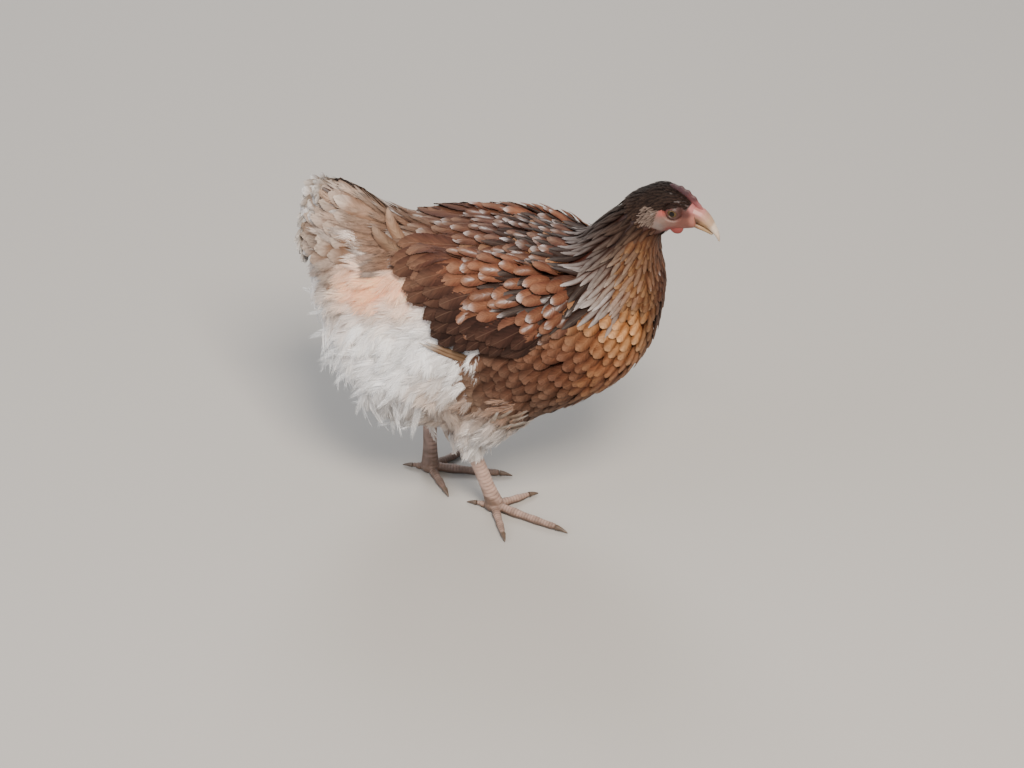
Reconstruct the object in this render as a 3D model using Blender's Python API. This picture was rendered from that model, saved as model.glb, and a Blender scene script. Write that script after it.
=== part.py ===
"""A young laying hen, walking: the whole bird as a still, life-size model in separate named solids.

The bird faces +X and +Z is up, in metres. The floor is z = 0, under the middle of the bird's box.
Trunk, neck, head and tail are lengths of one lofted form, cut apart by thin flat gaps. Wings, thighs,
comb and the other parts sit on that form, each cut back by the piece that carries it.
"""

import math

import bmesh
import bpy
import numpy as np
from mathutils import Matrix, Vector

MM = 0.001
GAP = 0.3 * MM  # clear space between two solids that meet

# --- driving sizes of the bird --------------------------------------------------------------------
HEAD_PITCH = math.radians(15)  # the bill points this far below level
HEAD_YAW = math.radians(-7)  # and this far to the bird's right
YAW_AXIS = Vector((104, 0, 0)) * MM  # the upright line the head turns about
TURN_FROM, TURN_OVER = 12.5, 4.5  # the body section where that turn begins, and how many it takes
EYE_CENTRE = Vector((133.5, 0, 298.0)) * MM  # the point midway between the eyes, before that turn
SHANK_RADIUS = 5.3 * MM
TOE_RADIUS = 3.7 * MM
SOLE_CUT = 0.5 * MM  # how much of each toe's round underside is flat on the floor

RIGHT_FOOT = Vector((-8.0, -24.0, 0.0)) * MM  # under the joint where the toes spread
LEFT_FOOT = Vector((-72.5, 18.0, 0.0)) * MM
RIGHT_HOCK = Vector((-32.0, -36.0, 91.0)) * MM
LEFT_HOCK = Vector((-77.0, 38.0, 90.0)) * MM
RIGHT_KNEE = Vector((12.0, -31.0, 150.0)) * MM
LEFT_KNEE = Vector((-6.0, 31.0, 152.0)) * MM
RIGHT_HEADING, LEFT_HEADING = math.radians(-17), math.radians(5)  # where each middle toe points

FRAME_SHIFT = Vector((1.07, 0, 0)) * MM  # brings the middle of the bird's box over the origin

CUFF_FORWARD = Vector((4, 0, 0)) * MM  # the feathers below the hock hang in front of the shank

# The body's cross-sections from the tail's end to the bill's root, in millimetres: the point on the
# back (x, z), the point on the belly (x, z), the half width, how square the section is (2 is an
# ellipse) and how much wider it is below than above.
SECTIONS = np.array(
    [
        (-158, 281, -170, 226, 4.0, 2.2, 0.30),  # 0 tail's end
        (-139, 284, -166, 203, 15.0, 2.2, 0.30),
        (-116, 271, -159, 183, 29.0, 2.2, 0.28),
        (-96, 258, -151, 158, 45.0, 2.2, 0.20),  # 3 tail's root
        (-75, 252, -137, 122, 59.0, 2.2, 0.12),
        (-52, 252, -108, 88, 68.0, 2.2, 0.10),
        (-29, 255, -70, 74, 72.0, 2.2, 0.08),
        (-4, 257, -28, 79, 73.0, 2.2, 0.04),  # 7 hips
        (19, 255, 15, 91, 71.0, 2.2, 0.02),
        (36, 253, 52, 107, 66.0, 2.2, 0.00),
        (48, 253, 86, 129, 58.0, 2.2, 0.00),
        (57, 258, 110, 156, 50.0, 2.2, 0.02),
        (65, 267, 122, 187, 42.0, 2.2, 0.04),  # 12 neck's root
        (75, 279, 126, 214, 34.5, 2.1, 0.04),
        (86, 291, 123, 236, 28.0, 2.0, 0.02),
        (97, 302, 120, 251, 22.5, 2.0, 0.00),
        (106, 309, 120, 261, 18.5, 2.0, 0.00),
        (115, 314, 123, 269, 16.5, 2.1, 0.05),  # 17 back of the head
        (124, 316, 128, 275, 15.5, 2.2, 0.12),
        (133, 313, 134, 278, 14.0, 2.2, 0.16),
        (141, 308, 140, 279, 11.5, 2.2, 0.16),
        (148, 302, 146, 280, 8.8, 2.2, 0.10),
        (152, 298, 150, 280, 7.0, 2.2, 0.05),  # 22 bill's root
    ],
    float,
)
TAIL_ROOT, NECK_ROOT, HEAD_BACK, BILL_ROOT = 3.0, 12.0, 16.6, 22.0
TAIL_RINGS = np.linspace(0, TAIL_ROOT, 7)
TRUNK_RINGS = np.linspace(TAIL_ROOT, NECK_ROOT, 19)
NECK_RINGS = np.linspace(NECK_ROOT, HEAD_BACK, 9)
HEAD_RINGS = np.linspace(HEAD_BACK, BILL_ROOT, 11)
BODY_SIDES = 24


# --- helpers --------------------------------------------------------------------------------------
def clear_scene():
    for old in list(bpy.data.objects):
        bpy.data.objects.remove(old)


def collection(name, hidden=False):
    found = bpy.data.collections.new(name)
    bpy.context.scene.collection.children.link(found)
    found.hide_render = hidden
    return found


def finish_of(name, colour, roughness):
    made = bpy.data.materials.new(name)
    made.use_nodes = True
    shader = made.node_tree.nodes["Principled BSDF"]
    shader.inputs["Base Color"].default_value = (*colour, 1)
    shader.inputs["Roughness"].default_value = roughness
    return made


def new_object(name, rings, home, material=None):
    """A closed solid from rings of points with equal counts, each ring's end closed by a flat face."""
    mesh = bpy.data.meshes.new(name)
    bm = bmesh.new()
    made = [[bm.verts.new(point) for point in ring] for ring in rings]
    for before, after in zip(made, made[1:]):
        for k in range(len(before)):
            j = (k + 1) % len(before)
            bm.faces.new((before[k], before[j], after[j], after[k]))
    bm.faces.new(made[0][::-1])
    bm.faces.new(made[-1])
    bmesh.ops.recalc_face_normals(bm, faces=bm.faces)
    bm.to_mesh(mesh)
    bm.free()
    mesh.shade_smooth()
    mesh.set_sharp_from_angle(angle=math.radians(50))
    found = bpy.data.objects.new(name, mesh)
    home.objects.link(found)
    if material:
        mesh.materials.append(material)
    return found


def cutter(found):
    found.hide_render = True
    found.display_type = "WIRE"
    return found


def combine(target, other, operation="DIFFERENCE"):
    """Adds a Boolean modifier that cuts other away from target, or joins it on."""
    modifier = target.modifiers.new(f"{operation.lower()} {other.name}", "BOOLEAN")
    modifier.operation = operation
    modifier.object = other
    modifier.solver = "EXACT"
    return target


def along(table, s):
    """A smooth curve through the table's rows, read at row number s."""
    last = len(table) - 1
    i = min(max(int(math.floor(s)), 0), last - 1)
    t = s - i
    p0, p1, p2, p3 = (table[min(max(i + k, 0), last)] for k in (-1, 0, 1, 2))
    return 0.5 * (
        2 * p1 + (p2 - p0) * t + (2 * p0 - 5 * p1 + 4 * p2 - p3) * t**2 + (3 * p1 - p0 - 3 * p2 + p3) * t**3
    )


def turned(point, s):
    """Turns a point of the body at section s with the head: none at the neck's root, all at the head."""
    share = min(max((s - TURN_FROM) / TURN_OVER, 0), 1)
    turn = Matrix.Rotation(HEAD_YAW * share * share * (3 - 2 * share), 3, "Z")
    return YAW_AXIS + turn @ (point - YAW_AXIS)


def body_axes(s):
    """The body's section at s: its middle, half its height as a vector, half width, squareness and droop."""
    row = along(SECTIONS, s)
    back = Vector((row[0], 0, row[1])) * MM
    belly = Vector((row[2], 0, row[3])) * MM
    return (back + belly) / 2, (back - belly) / 2, row[4] * MM, row[5], row[6]


def body_point(s, turn, lift=0.0):
    """A point on the body's section at s. turn is 0 on the back, grows down the right side, and is pi
    on the belly; lift moves it out of the surface."""
    middle, half_height, half_width, square, droop = body_axes(s)
    up = math.copysign(abs(math.cos(turn)) ** (2 / square), math.cos(turn))
    side = math.copysign(abs(math.sin(turn)) ** (2 / square), math.sin(turn))
    tall = half_height * (1 + lift / half_height.length)
    across = (half_width + lift) * side * (1 - droop * up)
    return turned(middle + tall * up + Vector((0, -across, 0)), s)


def body_length(name, where, home, material=None, lift=0.0, last_gap=0.0):
    """The body through the sections in where, its last flat end drawn back by a gap."""
    rings = []
    for s in where:
        _, half_height, *_ = body_axes(s)
        forward = Vector((half_height.z, 0, -half_height.x)).normalized()
        shift = -forward * (last_gap if s == where[-1] else 0)
        rings.append([body_point(s, 2 * math.pi * k / BODY_SIDES, lift) + shift for k in range(BODY_SIDES)])
    return new_object(name, rings, home, material)


def tube(name, points, radii, home, material=None, sides=12, flat=1.0):
    """A closed tube through the points with these radii; flat is its height as a share of its width."""
    points = [Vector(p) for p in points]
    rings = []
    for i, point in enumerate(points):
        forward = (points[min(i + 1, len(points) - 1)] - points[max(i - 1, 0)]).normalized()
        across = Vector((0, 1, 0)).cross(forward).cross(forward).normalized()
        lift = forward.cross(across)
        rings.append(
            [
                point
                + radii[i] * (math.cos(a) * across + flat * math.sin(a) * lift)
                for a in (2 * math.pi * k / sides for k in range(sides))
            ]
        )
    return new_object(name, rings, home, material)


def smooth_run(rows, steps):
    """Points along a smooth curve through the rows, steps of them."""
    rows = np.array(rows, float)
    return [along(rows, s) for s in np.linspace(0, len(rows) - 1, steps)]


def in_head(x, y, z):
    """A point given from midway between the eyes, in millimetres, level with the bill's own axis."""
    pitched = Matrix.Rotation(HEAD_PITCH, 3, "Y") @ Vector((x, y, z))
    return turned(EYE_CENTRE + pitched * MM, BILL_ROOT)


def ball(name, centre, radii, home, material=None, segments=14, rings=9, lean=None):
    """An ellipsoid with these three radii."""
    mesh = bpy.data.meshes.new(name)
    bm = bmesh.new()
    bmesh.ops.create_uvsphere(bm, u_segments=segments, v_segments=rings, radius=1)
    place = Matrix.Translation(centre) @ (lean or Matrix.Identity(4)) @ Matrix.Diagonal((*radii, 1))
    bm.transform(place)
    bm.to_mesh(mesh)
    bm.free()
    mesh.shade_smooth()
    found = bpy.data.objects.new(name, mesh)
    home.objects.link(found)
    if material:
        mesh.materials.append(material)
    return found


def grown(solid, cutters):
    """A copy of the solid one gap larger all round, to cut what meets it."""
    form = solid.copy()
    form.data = solid.data.copy()
    form.name = f"{solid.name}_form"
    cutters.objects.link(form)
    grow = form.modifiers.new("grow", "DISPLACE")
    grow.strength = GAP
    grow.mid_level = 0
    return cutter(form)


# --- the body: tail, trunk, neck and head ---------------------------------------------------------
def make_body(home, cutters, plumage):
    """The four lengths of the main form. Returns the head, and the cutters that stand for them."""
    body_length("tail", TAIL_RINGS, home, plumage["buff"], last_gap=GAP)
    body_length("trunk", TRUNK_RINGS, home, plumage["rufous"], last_gap=GAP)
    body_length("neck", NECK_RINGS, home, plumage["rufous"], last_gap=GAP)
    head = body_length("head", HEAD_RINGS, home, plumage["face"], last_gap=GAP)
    hind = np.concatenate([TAIL_RINGS[2:-1], TRUNK_RINGS[:-1], NECK_RINGS])
    trunk_form = body_length("trunk_form", hind, cutters, lift=GAP)
    front = np.concatenate([TRUNK_RINGS[-3:-1], NECK_RINGS[:-1], HEAD_RINGS])
    head_form = body_length("head_form", front, cutters, lift=GAP)
    return head, cutter(head_form), cutter(trunk_form)


# --- head parts -----------------------------------------------------------------------------------
EYE_RADIUS = 6.2
EYE_SIDE = 9.2  # from the head's middle to the eyeball's centre


def make_eyes(home, cutters, head, material):
    for side, name in ((-1, "eye_right"), (1, "eye_left")):
        centre = in_head(0, side * EYE_SIDE, 0)
        ball(name, centre, (EYE_RADIUS * MM,) * 3, home, material)
        socket = ball(f"{name}_socket", centre, (EYE_RADIUS * MM + GAP,) * 3, cutters)
        combine(head, cutter(socket))


def bill_half(name, rows, home, material):
    """Half a bill from its root to its tip. Rows give the ridge's (x, z), the edge's (x, z) and the half
    width, in millimetres in the head's own frame."""
    rings = []
    for top_x, top_z, edge_x, edge_z, width in smooth_run(rows, 11):
        ring = []
        for k in range(12):
            a = 2 * math.pi * k / 12
            share = (1 - math.cos(a)) / 2
            round_off = math.copysign(abs(math.sin(a)) ** 0.8, math.sin(a))
            x = top_x + (edge_x - top_x) * share
            z = top_z + (edge_z - top_z) * share
            ring.append(in_head(x, -width * round_off, z))
        rings.append(ring)
    return new_object(name, rings, home, material)


def make_bill(home, head_form, material):
    """The upper bill overhangs the lower one with a small hook."""
    upper = bill_half(
        "bill_upper",
        [
            (15.0, 6.2, 13.0, -6.6, 7.3),
            (20.8, 5.0, 18.0, -6.9, 6.6),
            (27.6, 1.2, 23.8, -7.6, 5.4),
            (33.6, -4.6, 30.0, -9.2, 3.8),
            (38.4, -10.8, 35.2, -12.0, 2.2),
            (40.4, -16.2, 38.8, -15.8, 0.7),
        ],
        home,
        material,
    )
    lower = bill_half(
        "bill_lower",
        [
            (12.6, -7.3, 12.4, -13.0, 6.4),
            (17.6, -7.6, 17.2, -13.0, 5.6),
            (23.2, -8.3, 22.4, -13.2, 4.4),
            (28.6, -9.8, 27.6, -13.7, 3.0),
            (33.6, -12.2, 32.8, -14.6, 1.3),
        ],
        home,
        material,
    )
    combine(upper, head_form)
    combine(lower, head_form)
    return upper


COMB_POINTS = 5
COMB_START, COMB_END = -11.0, 21.0  # along the head, from over the eye to over the nostril
COMB_BASE, COMB_FALL = 17.0, 11.0  # its height over the eye, and how far it drops by the bill
COMB_BLADE, COMB_POINT = 3.8, 1.5  # how tall the blade is between its points, and each point on it
COMB_ROOT = 4.0  # how deep the blade starts inside the crown
COMB_EDGE, COMB_THICKNESS = 0.6, 1.3  # half widths: at its ends, and added at its middle


def make_comb(home, cutters, head_form, bill, material):
    """A young bird's low single comb: an upright blade with a few small rounded points."""
    rings = []
    for t in np.linspace(0.0, 1.0, 27):
        x = COMB_START + (COMB_END - COMB_START) * t
        ridge = COMB_BASE - COMB_FALL * t**1.9  # follows the crown down to the bill
        swell = math.sin(math.pi * min(1, 0.02 + t * 0.98)) ** 0.6
        tooth = 0.5 + 0.5 * math.cos(2 * math.pi * COMB_POINTS * (t - 0.5))
        tall = swell * (COMB_BLADE + COMB_POINT * tooth)
        thick = COMB_EDGE + COMB_THICKNESS * swell
        top, bottom = ridge + tall, ridge - COMB_ROOT
        ring = []
        for k in range(8):
            a = 2 * math.pi * k / 8
            z = (top + bottom) / 2 + (top - bottom) / 2 * math.cos(a)
            ring.append(in_head(x, -thick * math.sin(a), z))
        rings.append(ring)
    comb = new_object("comb", rings, home, material)
    combine(comb, head_form)
    combine(comb, grown(bill, cutters))


LOBE_PLACE, LOBE_RADII = (-15.5, 16.6, -10.0), Vector((4.2, 3.2, 6.4)) * MM
WATTLE_PLACE, WATTLE_RADII = (5.5, 7.2, -17.5), Vector((6.2, 2.2, 5.2)) * MM
SOFT_PART_LEAN = math.radians(25)  # how far both lean past the bill's own pitch


def make_lobes_and_wattles(home, head_form, comb_red, lobe_white):
    """Small soft parts below the eye: a pale ear lobe behind it and a bud of a wattle at the jaw."""
    lean = Matrix.Rotation(HEAD_PITCH + SOFT_PART_LEAN, 4, "Y")
    for side, name in ((-1, "right"), (1, "left")):
        mirror = Vector((1, side, 1))
        lobe_middle = in_head(*(Vector(LOBE_PLACE) * mirror))
        lobe = ball(f"earlobe_{name}", lobe_middle, LOBE_RADII, home, lobe_white, 14, 8, lean)
        wattle_middle = in_head(*(Vector(WATTLE_PLACE) * mirror))
        wattle = ball(f"wattle_{name}", wattle_middle, WATTLE_RADII, home, comb_red, 14, 8, lean)
        combine(lobe, head_form)
        combine(wattle, head_form)


# --- wings ----------------------------------------------------------------------------------------
WING_EDGE = np.array(  # round the folded wing: the body section and the degrees down from the back
    [
        (10.9, 46),
        (10.6, 36),
        (9.6, 30),
        (8.2, 27),
        (6.6, 26),
        (5.1, 26),
        (4.2, 30),
        (4.0, 38),
        (4.4, 48),
        (5.2, 62),
        (6.1, 74),
        (7.0, 80),
        (8.0, 79),
        (9.1, 73),
        (10.2, 62),
    ],
    float,
)
WING_MIDDLE = np.array((7.4, 49), float)
WING_RIM, WING_SWELL = 3.0 * MM, 7.0 * MM  # thickness at the rim, and how much more at the middle
WING_BED = 4.0 * MM  # how deep its inner side starts inside the trunk, before the trunk is cut away
WING_STEPS = 30
WING_LEVELS = (0.15, 0.45, 0.7, 0.88, 1.0)


def wing_place(share, out):
    """(body section, turn) on the wing: share goes once round it, out is 0 at its middle, 1 at its rim."""
    table = np.vstack([WING_EDGE[-1:], WING_EDGE, WING_EDGE[:2]])
    edge = along(table, 1 + share * len(WING_EDGE))
    s, turn = WING_MIDDLE + (edge - WING_MIDDLE) * out
    return s, math.radians(turn)


def make_wing(name, side, home, trunk_form, material):
    """A folded wing: a shallow shield over the trunk's side, hollowed to fit it."""

    def ring(out, lift):
        places = [wing_place(k / WING_STEPS, out) for k in range(WING_STEPS)]
        return [body_point(s, -side * turn, lift) for s, turn in places]

    outer = [ring(out, WING_RIM + WING_SWELL * (1 - out**2.6)) for out in WING_LEVELS]
    inner = [ring(out, -WING_BED) for out in (1.0, 0.5)]
    wing = new_object(name, outer + inner, home, material)
    return combine(wing, trunk_form)


# --- legs -----------------------------------------------------------------------------------------
PAD_RADII = Vector((8.5, 7.5, 6.2)) * MM
PAD_RISE = 1.5 * MM  # how far the pad's middle is above the toes' own axis
TOES = (
    # name, degrees out from the heading, length, thickness, claw length
    ("middle", 0, 58, 1.0, 11),
    ("outer", 49, 38, 0.92, 9),
    ("inner", -60, 33, 0.96, 9),
    ("hind", 172, 15, 0.85, 9),
)
TOE_STEPS = 10
TOE_KNUCKLES, KNUCKLE_SWELL = 3.0, 0.10
CLAW_STEPS = 6
CLAW_TIP_HEIGHT = 1.1 * MM
ANKLE_HEIGHT = TOE_RADIUS + 4.0 * MM
SHANK_STEPS, SHANK_DEPTH = 11, 1.12  # a shank is a little deeper than it is wide
THIGH_RADII = (38.0, 37.0, 30.0, 20.0, 13.5)  # from the knee down to the cuff's end
THIGH_STEPS = 11


def make_foot(name, joint, heading, home, cutters, skin, horn, side):
    """Three front toes and a hind toe on one pad, flat below, with a claw of its own on each toe."""
    centre = joint + Vector((0, 0, TOE_RADIUS + PAD_RISE))
    foot = ball(name, centre, PAD_RADII, home, skin, 14, 8)
    floor_height = TOE_RADIUS - SOLE_CUT
    for toe, spread, length, thick, claw in TOES:
        angle = heading + side * math.radians(spread)
        way = Vector((math.cos(angle), math.sin(angle), 0))
        points, radii = [], []
        for t in np.linspace(0, 1, TOE_STEPS).tolist():
            height = floor_height * thick + (centre.z - floor_height) * 0.9 * (1 - t) ** 3
            knuckle = 1 + KNUCKLE_SWELL * math.cos(2 * math.pi * TOE_KNUCKLES * t)
            points.append(joint + way * (length * MM * t) + Vector((0, 0, height)))
            radii.append(TOE_RADIUS * thick * knuckle * (1.12 - 0.34 * t))
        part = cutter(tube(f"{name}_{toe}_toe", points, radii, cutters, None, 8))
        combine(foot, part, "UNION")
        make_claw(f"{name.replace('foot', 'claw')}_{toe}", points[-1], way, radii[-1], claw, home, horn)
    slab = floor_slab(f"{name}_floor", cutters)
    combine(foot, cutter(slab))
    return foot


def floor_slab(name, cutters):
    """A wide block whose top is the floor, to cut the soles flat."""
    mesh = bpy.data.meshes.new(name)
    bm = bmesh.new()
    bmesh.ops.create_cube(bm, size=1)
    bm.transform(Matrix.Translation((0, 0, -0.05)) @ Matrix.Diagonal((1, 1, 0.1, 1)))
    bm.to_mesh(mesh)
    bm.free()
    slab = bpy.data.objects.new(name, mesh)
    cutters.objects.link(slab)
    return slab


def make_claw(name, root, way, radius, length, home, horn):
    """A curved horn cone that starts just past the toe's end and bends down to the floor."""
    points, radii = [], []
    for t in np.linspace(0, 1, CLAW_STEPS).tolist():
        drop = (root.z - CLAW_TIP_HEIGHT) * t**1.8
        points.append(root + way * (GAP + length * MM * t) - Vector((0, 0, drop)))
        radii.append(radius * (0.72 * (1 - t) ** 0.8 + 0.12))
    return tube(name, points, radii, home, horn, 7)


def make_leg(word, joint, hock, knee, heading, side, home, cutters, body_form, plumage):
    foot = make_foot(f"foot_{word}", joint, heading, home, cutters, plumage["scale"], plumage["horn"], side)
    ankle = joint + Vector((0, 0, ANKLE_HEIGHT))
    shares = np.linspace(0, 1, SHANK_STEPS).tolist()
    shank_points = [ankle.lerp(hock, t) for t in shares]
    shank_radii = [
        SHANK_RADIUS * (1 + 0.28 * math.exp(-((t / 0.10) ** 2)) + 0.55 * math.exp(-(((t - 1) / 0.12) ** 2)))
        for t in shares
    ]
    shank = tube(f"shank_{word}", shank_points, shank_radii, home, plumage["scale"], 12, SHANK_DEPTH)
    combine(shank, grown(foot, cutters))
    combine(shank, body_form)
    wider = [radius + GAP for radius in shank_radii]
    socket = tube(f"shank_{word}_form", shank_points, wider, cutters, None, 12, SHANK_DEPTH)
    middles = (
        knee,
        knee.lerp(hock, 0.35) + 1.2 * CUFF_FORWARD,
        knee.lerp(hock, 0.70) + 2.0 * CUFF_FORWARD,
        hock.lerp(knee, 0.03) + CUFF_FORWARD,
        hock.lerp(ankle, 0.34) + CUFF_FORWARD,
    )
    rows = [(*middle, radius * MM) for middle, radius in zip(middles, THIGH_RADII)]
    run = [tuple(float(v) for v in row) for row in smooth_run(rows, THIGH_STEPS)]
    points, radii = [row[:3] for row in run], [row[3] for row in run]
    thigh = tube(f"thigh_{word}", points, radii, home, plumage["white"], 18)
    combine(thigh, body_form)
    combine(thigh, cutter(socket))


# --- assembly -------------------------------------------------------------------------------------
def main():
    clear_scene()
    home = collection("hen")
    cutters = collection("cutters")
    plumage = {
        "rufous": finish_of("rufous_feathers", (0.30, 0.11, 0.045), 0.75),
        "buff": finish_of("buff_feathers", (0.72, 0.50, 0.34), 0.8),
        "white": finish_of("white_fluff", (0.80, 0.76, 0.71), 0.9),
        "face": finish_of("face_skin", (0.55, 0.27, 0.22), 0.6),
        "comb": finish_of("comb_skin", (0.60, 0.14, 0.13), 0.45),
        "lobe": finish_of("earlobe_skin", (0.66, 0.55, 0.47), 0.6),
        "bill": finish_of("bill_horn", (0.72, 0.50, 0.34), 0.4),
        "eye": finish_of("eye_gloss", (0.13, 0.08, 0.03), 0.08),
        "scale": finish_of("leg_scales", (0.66, 0.45, 0.37), 0.5),
        "horn": finish_of("claw_horn", (0.45, 0.36, 0.28), 0.4),
    }
    head, head_form, trunk_form = make_body(home, cutters, plumage)
    make_eyes(home, cutters, head, plumage["eye"])
    bill = make_bill(home, head_form, plumage["bill"])
    make_comb(home, cutters, head_form, bill, plumage["comb"])
    make_lobes_and_wattles(home, head_form, plumage["comb"], plumage["lobe"])
    for side, name in ((-1, "wing_right"), (1, "wing_left")):
        make_wing(name, side, home, trunk_form, plumage["rufous"])
    make_leg(
        "right", RIGHT_FOOT, RIGHT_HOCK, RIGHT_KNEE, RIGHT_HEADING, -1, home, cutters, trunk_form, plumage
    )
    make_leg("left", LEFT_FOOT, LEFT_HOCK, LEFT_KNEE, LEFT_HEADING, 1, home, cutters, trunk_form, plumage)
    for found in (*home.objects, *cutters.objects):
        found.data.transform(Matrix.Translation(FRAME_SHIFT))


main()
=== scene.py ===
"""The looks of a life-size standing hen: its skin and plumage, bare head parts, scaled legs and horn."""
import math

import bmesh
import bpy
import numpy as np
from mathutils import Matrix, Vector
from mathutils.bvhtree import BVHTree


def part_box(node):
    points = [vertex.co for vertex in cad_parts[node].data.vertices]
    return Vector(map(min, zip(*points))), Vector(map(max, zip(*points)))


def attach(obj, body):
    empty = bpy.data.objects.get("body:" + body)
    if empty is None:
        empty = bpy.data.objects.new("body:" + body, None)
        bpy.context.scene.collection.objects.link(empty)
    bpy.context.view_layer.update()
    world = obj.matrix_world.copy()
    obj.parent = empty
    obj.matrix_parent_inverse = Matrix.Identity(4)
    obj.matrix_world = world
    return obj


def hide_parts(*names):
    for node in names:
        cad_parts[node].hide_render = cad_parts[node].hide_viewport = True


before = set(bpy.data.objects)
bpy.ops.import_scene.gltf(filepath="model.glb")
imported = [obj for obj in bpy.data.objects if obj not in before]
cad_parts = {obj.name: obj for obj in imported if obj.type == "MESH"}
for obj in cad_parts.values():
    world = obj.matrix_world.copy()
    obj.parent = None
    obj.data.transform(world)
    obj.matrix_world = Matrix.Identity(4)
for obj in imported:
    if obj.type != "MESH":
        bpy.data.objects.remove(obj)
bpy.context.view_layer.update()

# --- skin -------------------------------------------------
# One thin, soft hide over the whole feathered body. It lies under the plumage by the plumage's own
# depth, and comes up to the surface on the bare face. Made by melting the fleshy solids together.
MM = 0.001
FLESH = ["tail", "trunk", "neck", "head", "wing_right", "wing_left", "thigh_right", "thigh_left"]
SKIN_CELL = 2.0 * MM
SKIN_SMOOTHING = 10
COAT_SHARE = 0.95  # how much of the coat's depth the skin is drawn in by

# How the plumage lies: a place on the right side (x, out from the middle, z), the way the feathers
# point there, how deep they stand over the skin (all in millimetres), and the colour at their roots.
# The left side is its mirror.
LIE = [
    (129, 0, 316, -1.0, 0.0, 0.05, 2.0, "2E1D17"),  # crown
    (146, 0, 305, -0.9, 0.0, 0.4, 0.7, "3A211A"),  # forehead
    (134, 14, 298, -0.9, 0.0, -0.2, 0.5, "3A211B"),  # round the eye
    (138, 11, 284, -0.8, 0.0, -0.6, 0.5, "9A6A60"),  # lower face
    (136, 4, 272, -0.8, 0.0, -0.6, 0.4, "9A6A60"),  # chin
    (120, 16, 292, -0.8, 0.1, -0.6, 1.4, "6A4A40"),  # ear
    (101, 0, 305, -0.8, 0.0, -0.6, 3.5, "35211A"),  # nape
    (78, 0, 282, -0.8, 0.0, -0.6, 5.0, "4A2C20"),  # back of the neck
    # The skin's dark brown at the side of the neck is partly painted shade, in the gaps between the hackles.
    (104, 24, 272, -0.55, 0.2, -0.83, 4.5, "3A2218"),  # side of the neck
    (88, 38, 242, -0.6, 0.2, -0.75, 5.5, "5A3020"),
    (62, 50, 232, -0.82, 0.15, -0.52, 6.0, "5A3020"),  # cape
    (52, 0, 256, -0.97, 0.0, -0.2, 5.5, "5A3424"),
    (40, 30, 252, -0.97, 0.1, -0.15, 5.5, "5A3020"),  # between the shoulders
    (122, 6, 264, 0.05, 0.15, -1.0, 3.0, "4A2A1C"),  # throat
    (125, 8, 236, 0.0, 0.2, -1.0, 4.5, "4A2A1C"),
    (123, 18, 198, -0.25, 0.25, -0.93, 5.5, "8A5232"),  # breast
    (100, 48, 190, -0.62, 0.1, -0.77, 5.5, "8A5232"),
    (98, 0, 138, -0.85, 0.1, -0.5, 5.5, "7A4830"),
    (62, 62, 175, -0.86, 0.05, -0.5, 5.5, "5E3220"),  # side of the breast
    (52, 55, 126, -0.9, 0.0, -0.42, 5.5, "6A3E2A"),
    (20, 0, 92, -1.0, 0.0, -0.05, 5.5, "A88A74"),  # belly
    (0, 0, 257, -1.0, 0.0, 0.0, 5.0, "5E3422"),  # back
    (0, 42, 247, -0.98, 0.1, -0.18, 5.0, "5E3422"),
    (-60, 0, 252, -0.99, 0.0, 0.1, 5.0, "7A4E38"),  # saddle
    (-72, 40, 238, -0.87, 0.1, -0.45, 5.0, "8A6048"),
    (0, 66, 234, -0.97, 0.1, -0.26, 4.0, "522A1A"),  # wing
    (5, 76, 207, -0.85, 0.0, -0.53, 4.0, "4E2819"),
    (-8, 76, 188, -0.7, 0.0, -0.72, 4.0, "44241A"),
    (-60, 58, 216, -0.75, 0.0, -0.66, 4.0, "5A3220"),
    (-52, 52, 240, -0.95, 0.1, -0.3, 4.0, "5A3220"),
    (-38, 70, 150, -0.5, 0.0, -0.86, 6.5, "A09084"),  # flank
    (22, 70, 150, -0.8, 0.0, -0.6, 5.5, "5C3626"),
    (-112, 46, 150, -0.55, 0.1, -0.83, 7.5, "EEEAE7"),  # fluff round the vent
    (-60, 50, 95, -0.3, 0.1, -0.95, 7.5, "EEEAE7"),
    (-50, 0, 76, -0.8, 0.0, -0.6, 7.0, "EEEAE7"),
    (-148, 0, 150, -0.3, 0.0, -0.95, 7.5, "EEEAE7"),
    (2, 58, 112, -0.6, 0.0, -0.8, 6.0, "8A6A56"),  # thigh
    (-24, 44, 82, -0.05, 0.0, -1.0, 4.0, "B0A69E"),  # cuffs below the hocks
    (-74, 44, 82, -0.05, 0.0, -1.0, 4.0, "B0A69E"),
    (-120, 0, 274, -0.88, 0.0, 0.46, 5.0, "BCA694"),  # tail
    (-134, 20, 248, -0.98, 0.0, 0.15, 5.5, "C4B2A4"),
    (-142, 24, 212, -0.85, 0.0, -0.5, 7.0, "D8D0CA"),
]
LIE_REACH = 15 * MM  # how far each of these rows rules before its neighbours share in it
PARTING = 5 * MM  # how near the bird's middle the feathers turn to point straight along it
UNDER_REACH = 8 * MM  # as the reach above, for the colours of the skin under the plumage
# The skin under the plumage is painted darker than the feathers' roots: painted shade from the feathers over
# it.
UNDER_SHADE = 1.3  # the power that makes it darker than the feathers' roots


def linear(code):
    """A colour written as sRGB hex, as linear red, green and blue."""
    part = np.array([int(code[i : i + 2], 16) / 255 for i in (0, 2, 4)])
    return np.where(part <= 0.04045, part / 12.92, ((part + 0.055) / 1.055) ** 2.4)


def numbered(table):
    """A table's rows as numbers: its places in metres, and its columns, each colour made linear."""
    rows = [[n for cell in row for n in (linear(cell) if isinstance(cell, str) else [cell])] for row in table]
    rows = np.array(rows, float)
    return rows[:, :3] * MM, rows[:, 3:]


def blend(table, points, reach=LIE_REACH):
    """The table's columns at each point, mixed from the rows by how near they lie."""
    places, columns = table
    folded = np.column_stack([points[:, 0], np.abs(points[:, 1]), points[:, 2]])
    weight = 1 / (((folded[:, None] - places[None]) ** 2).sum(2) + reach**2) ** 2.5
    return weight @ columns / weight.sum(1, keepdims=True)


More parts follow.
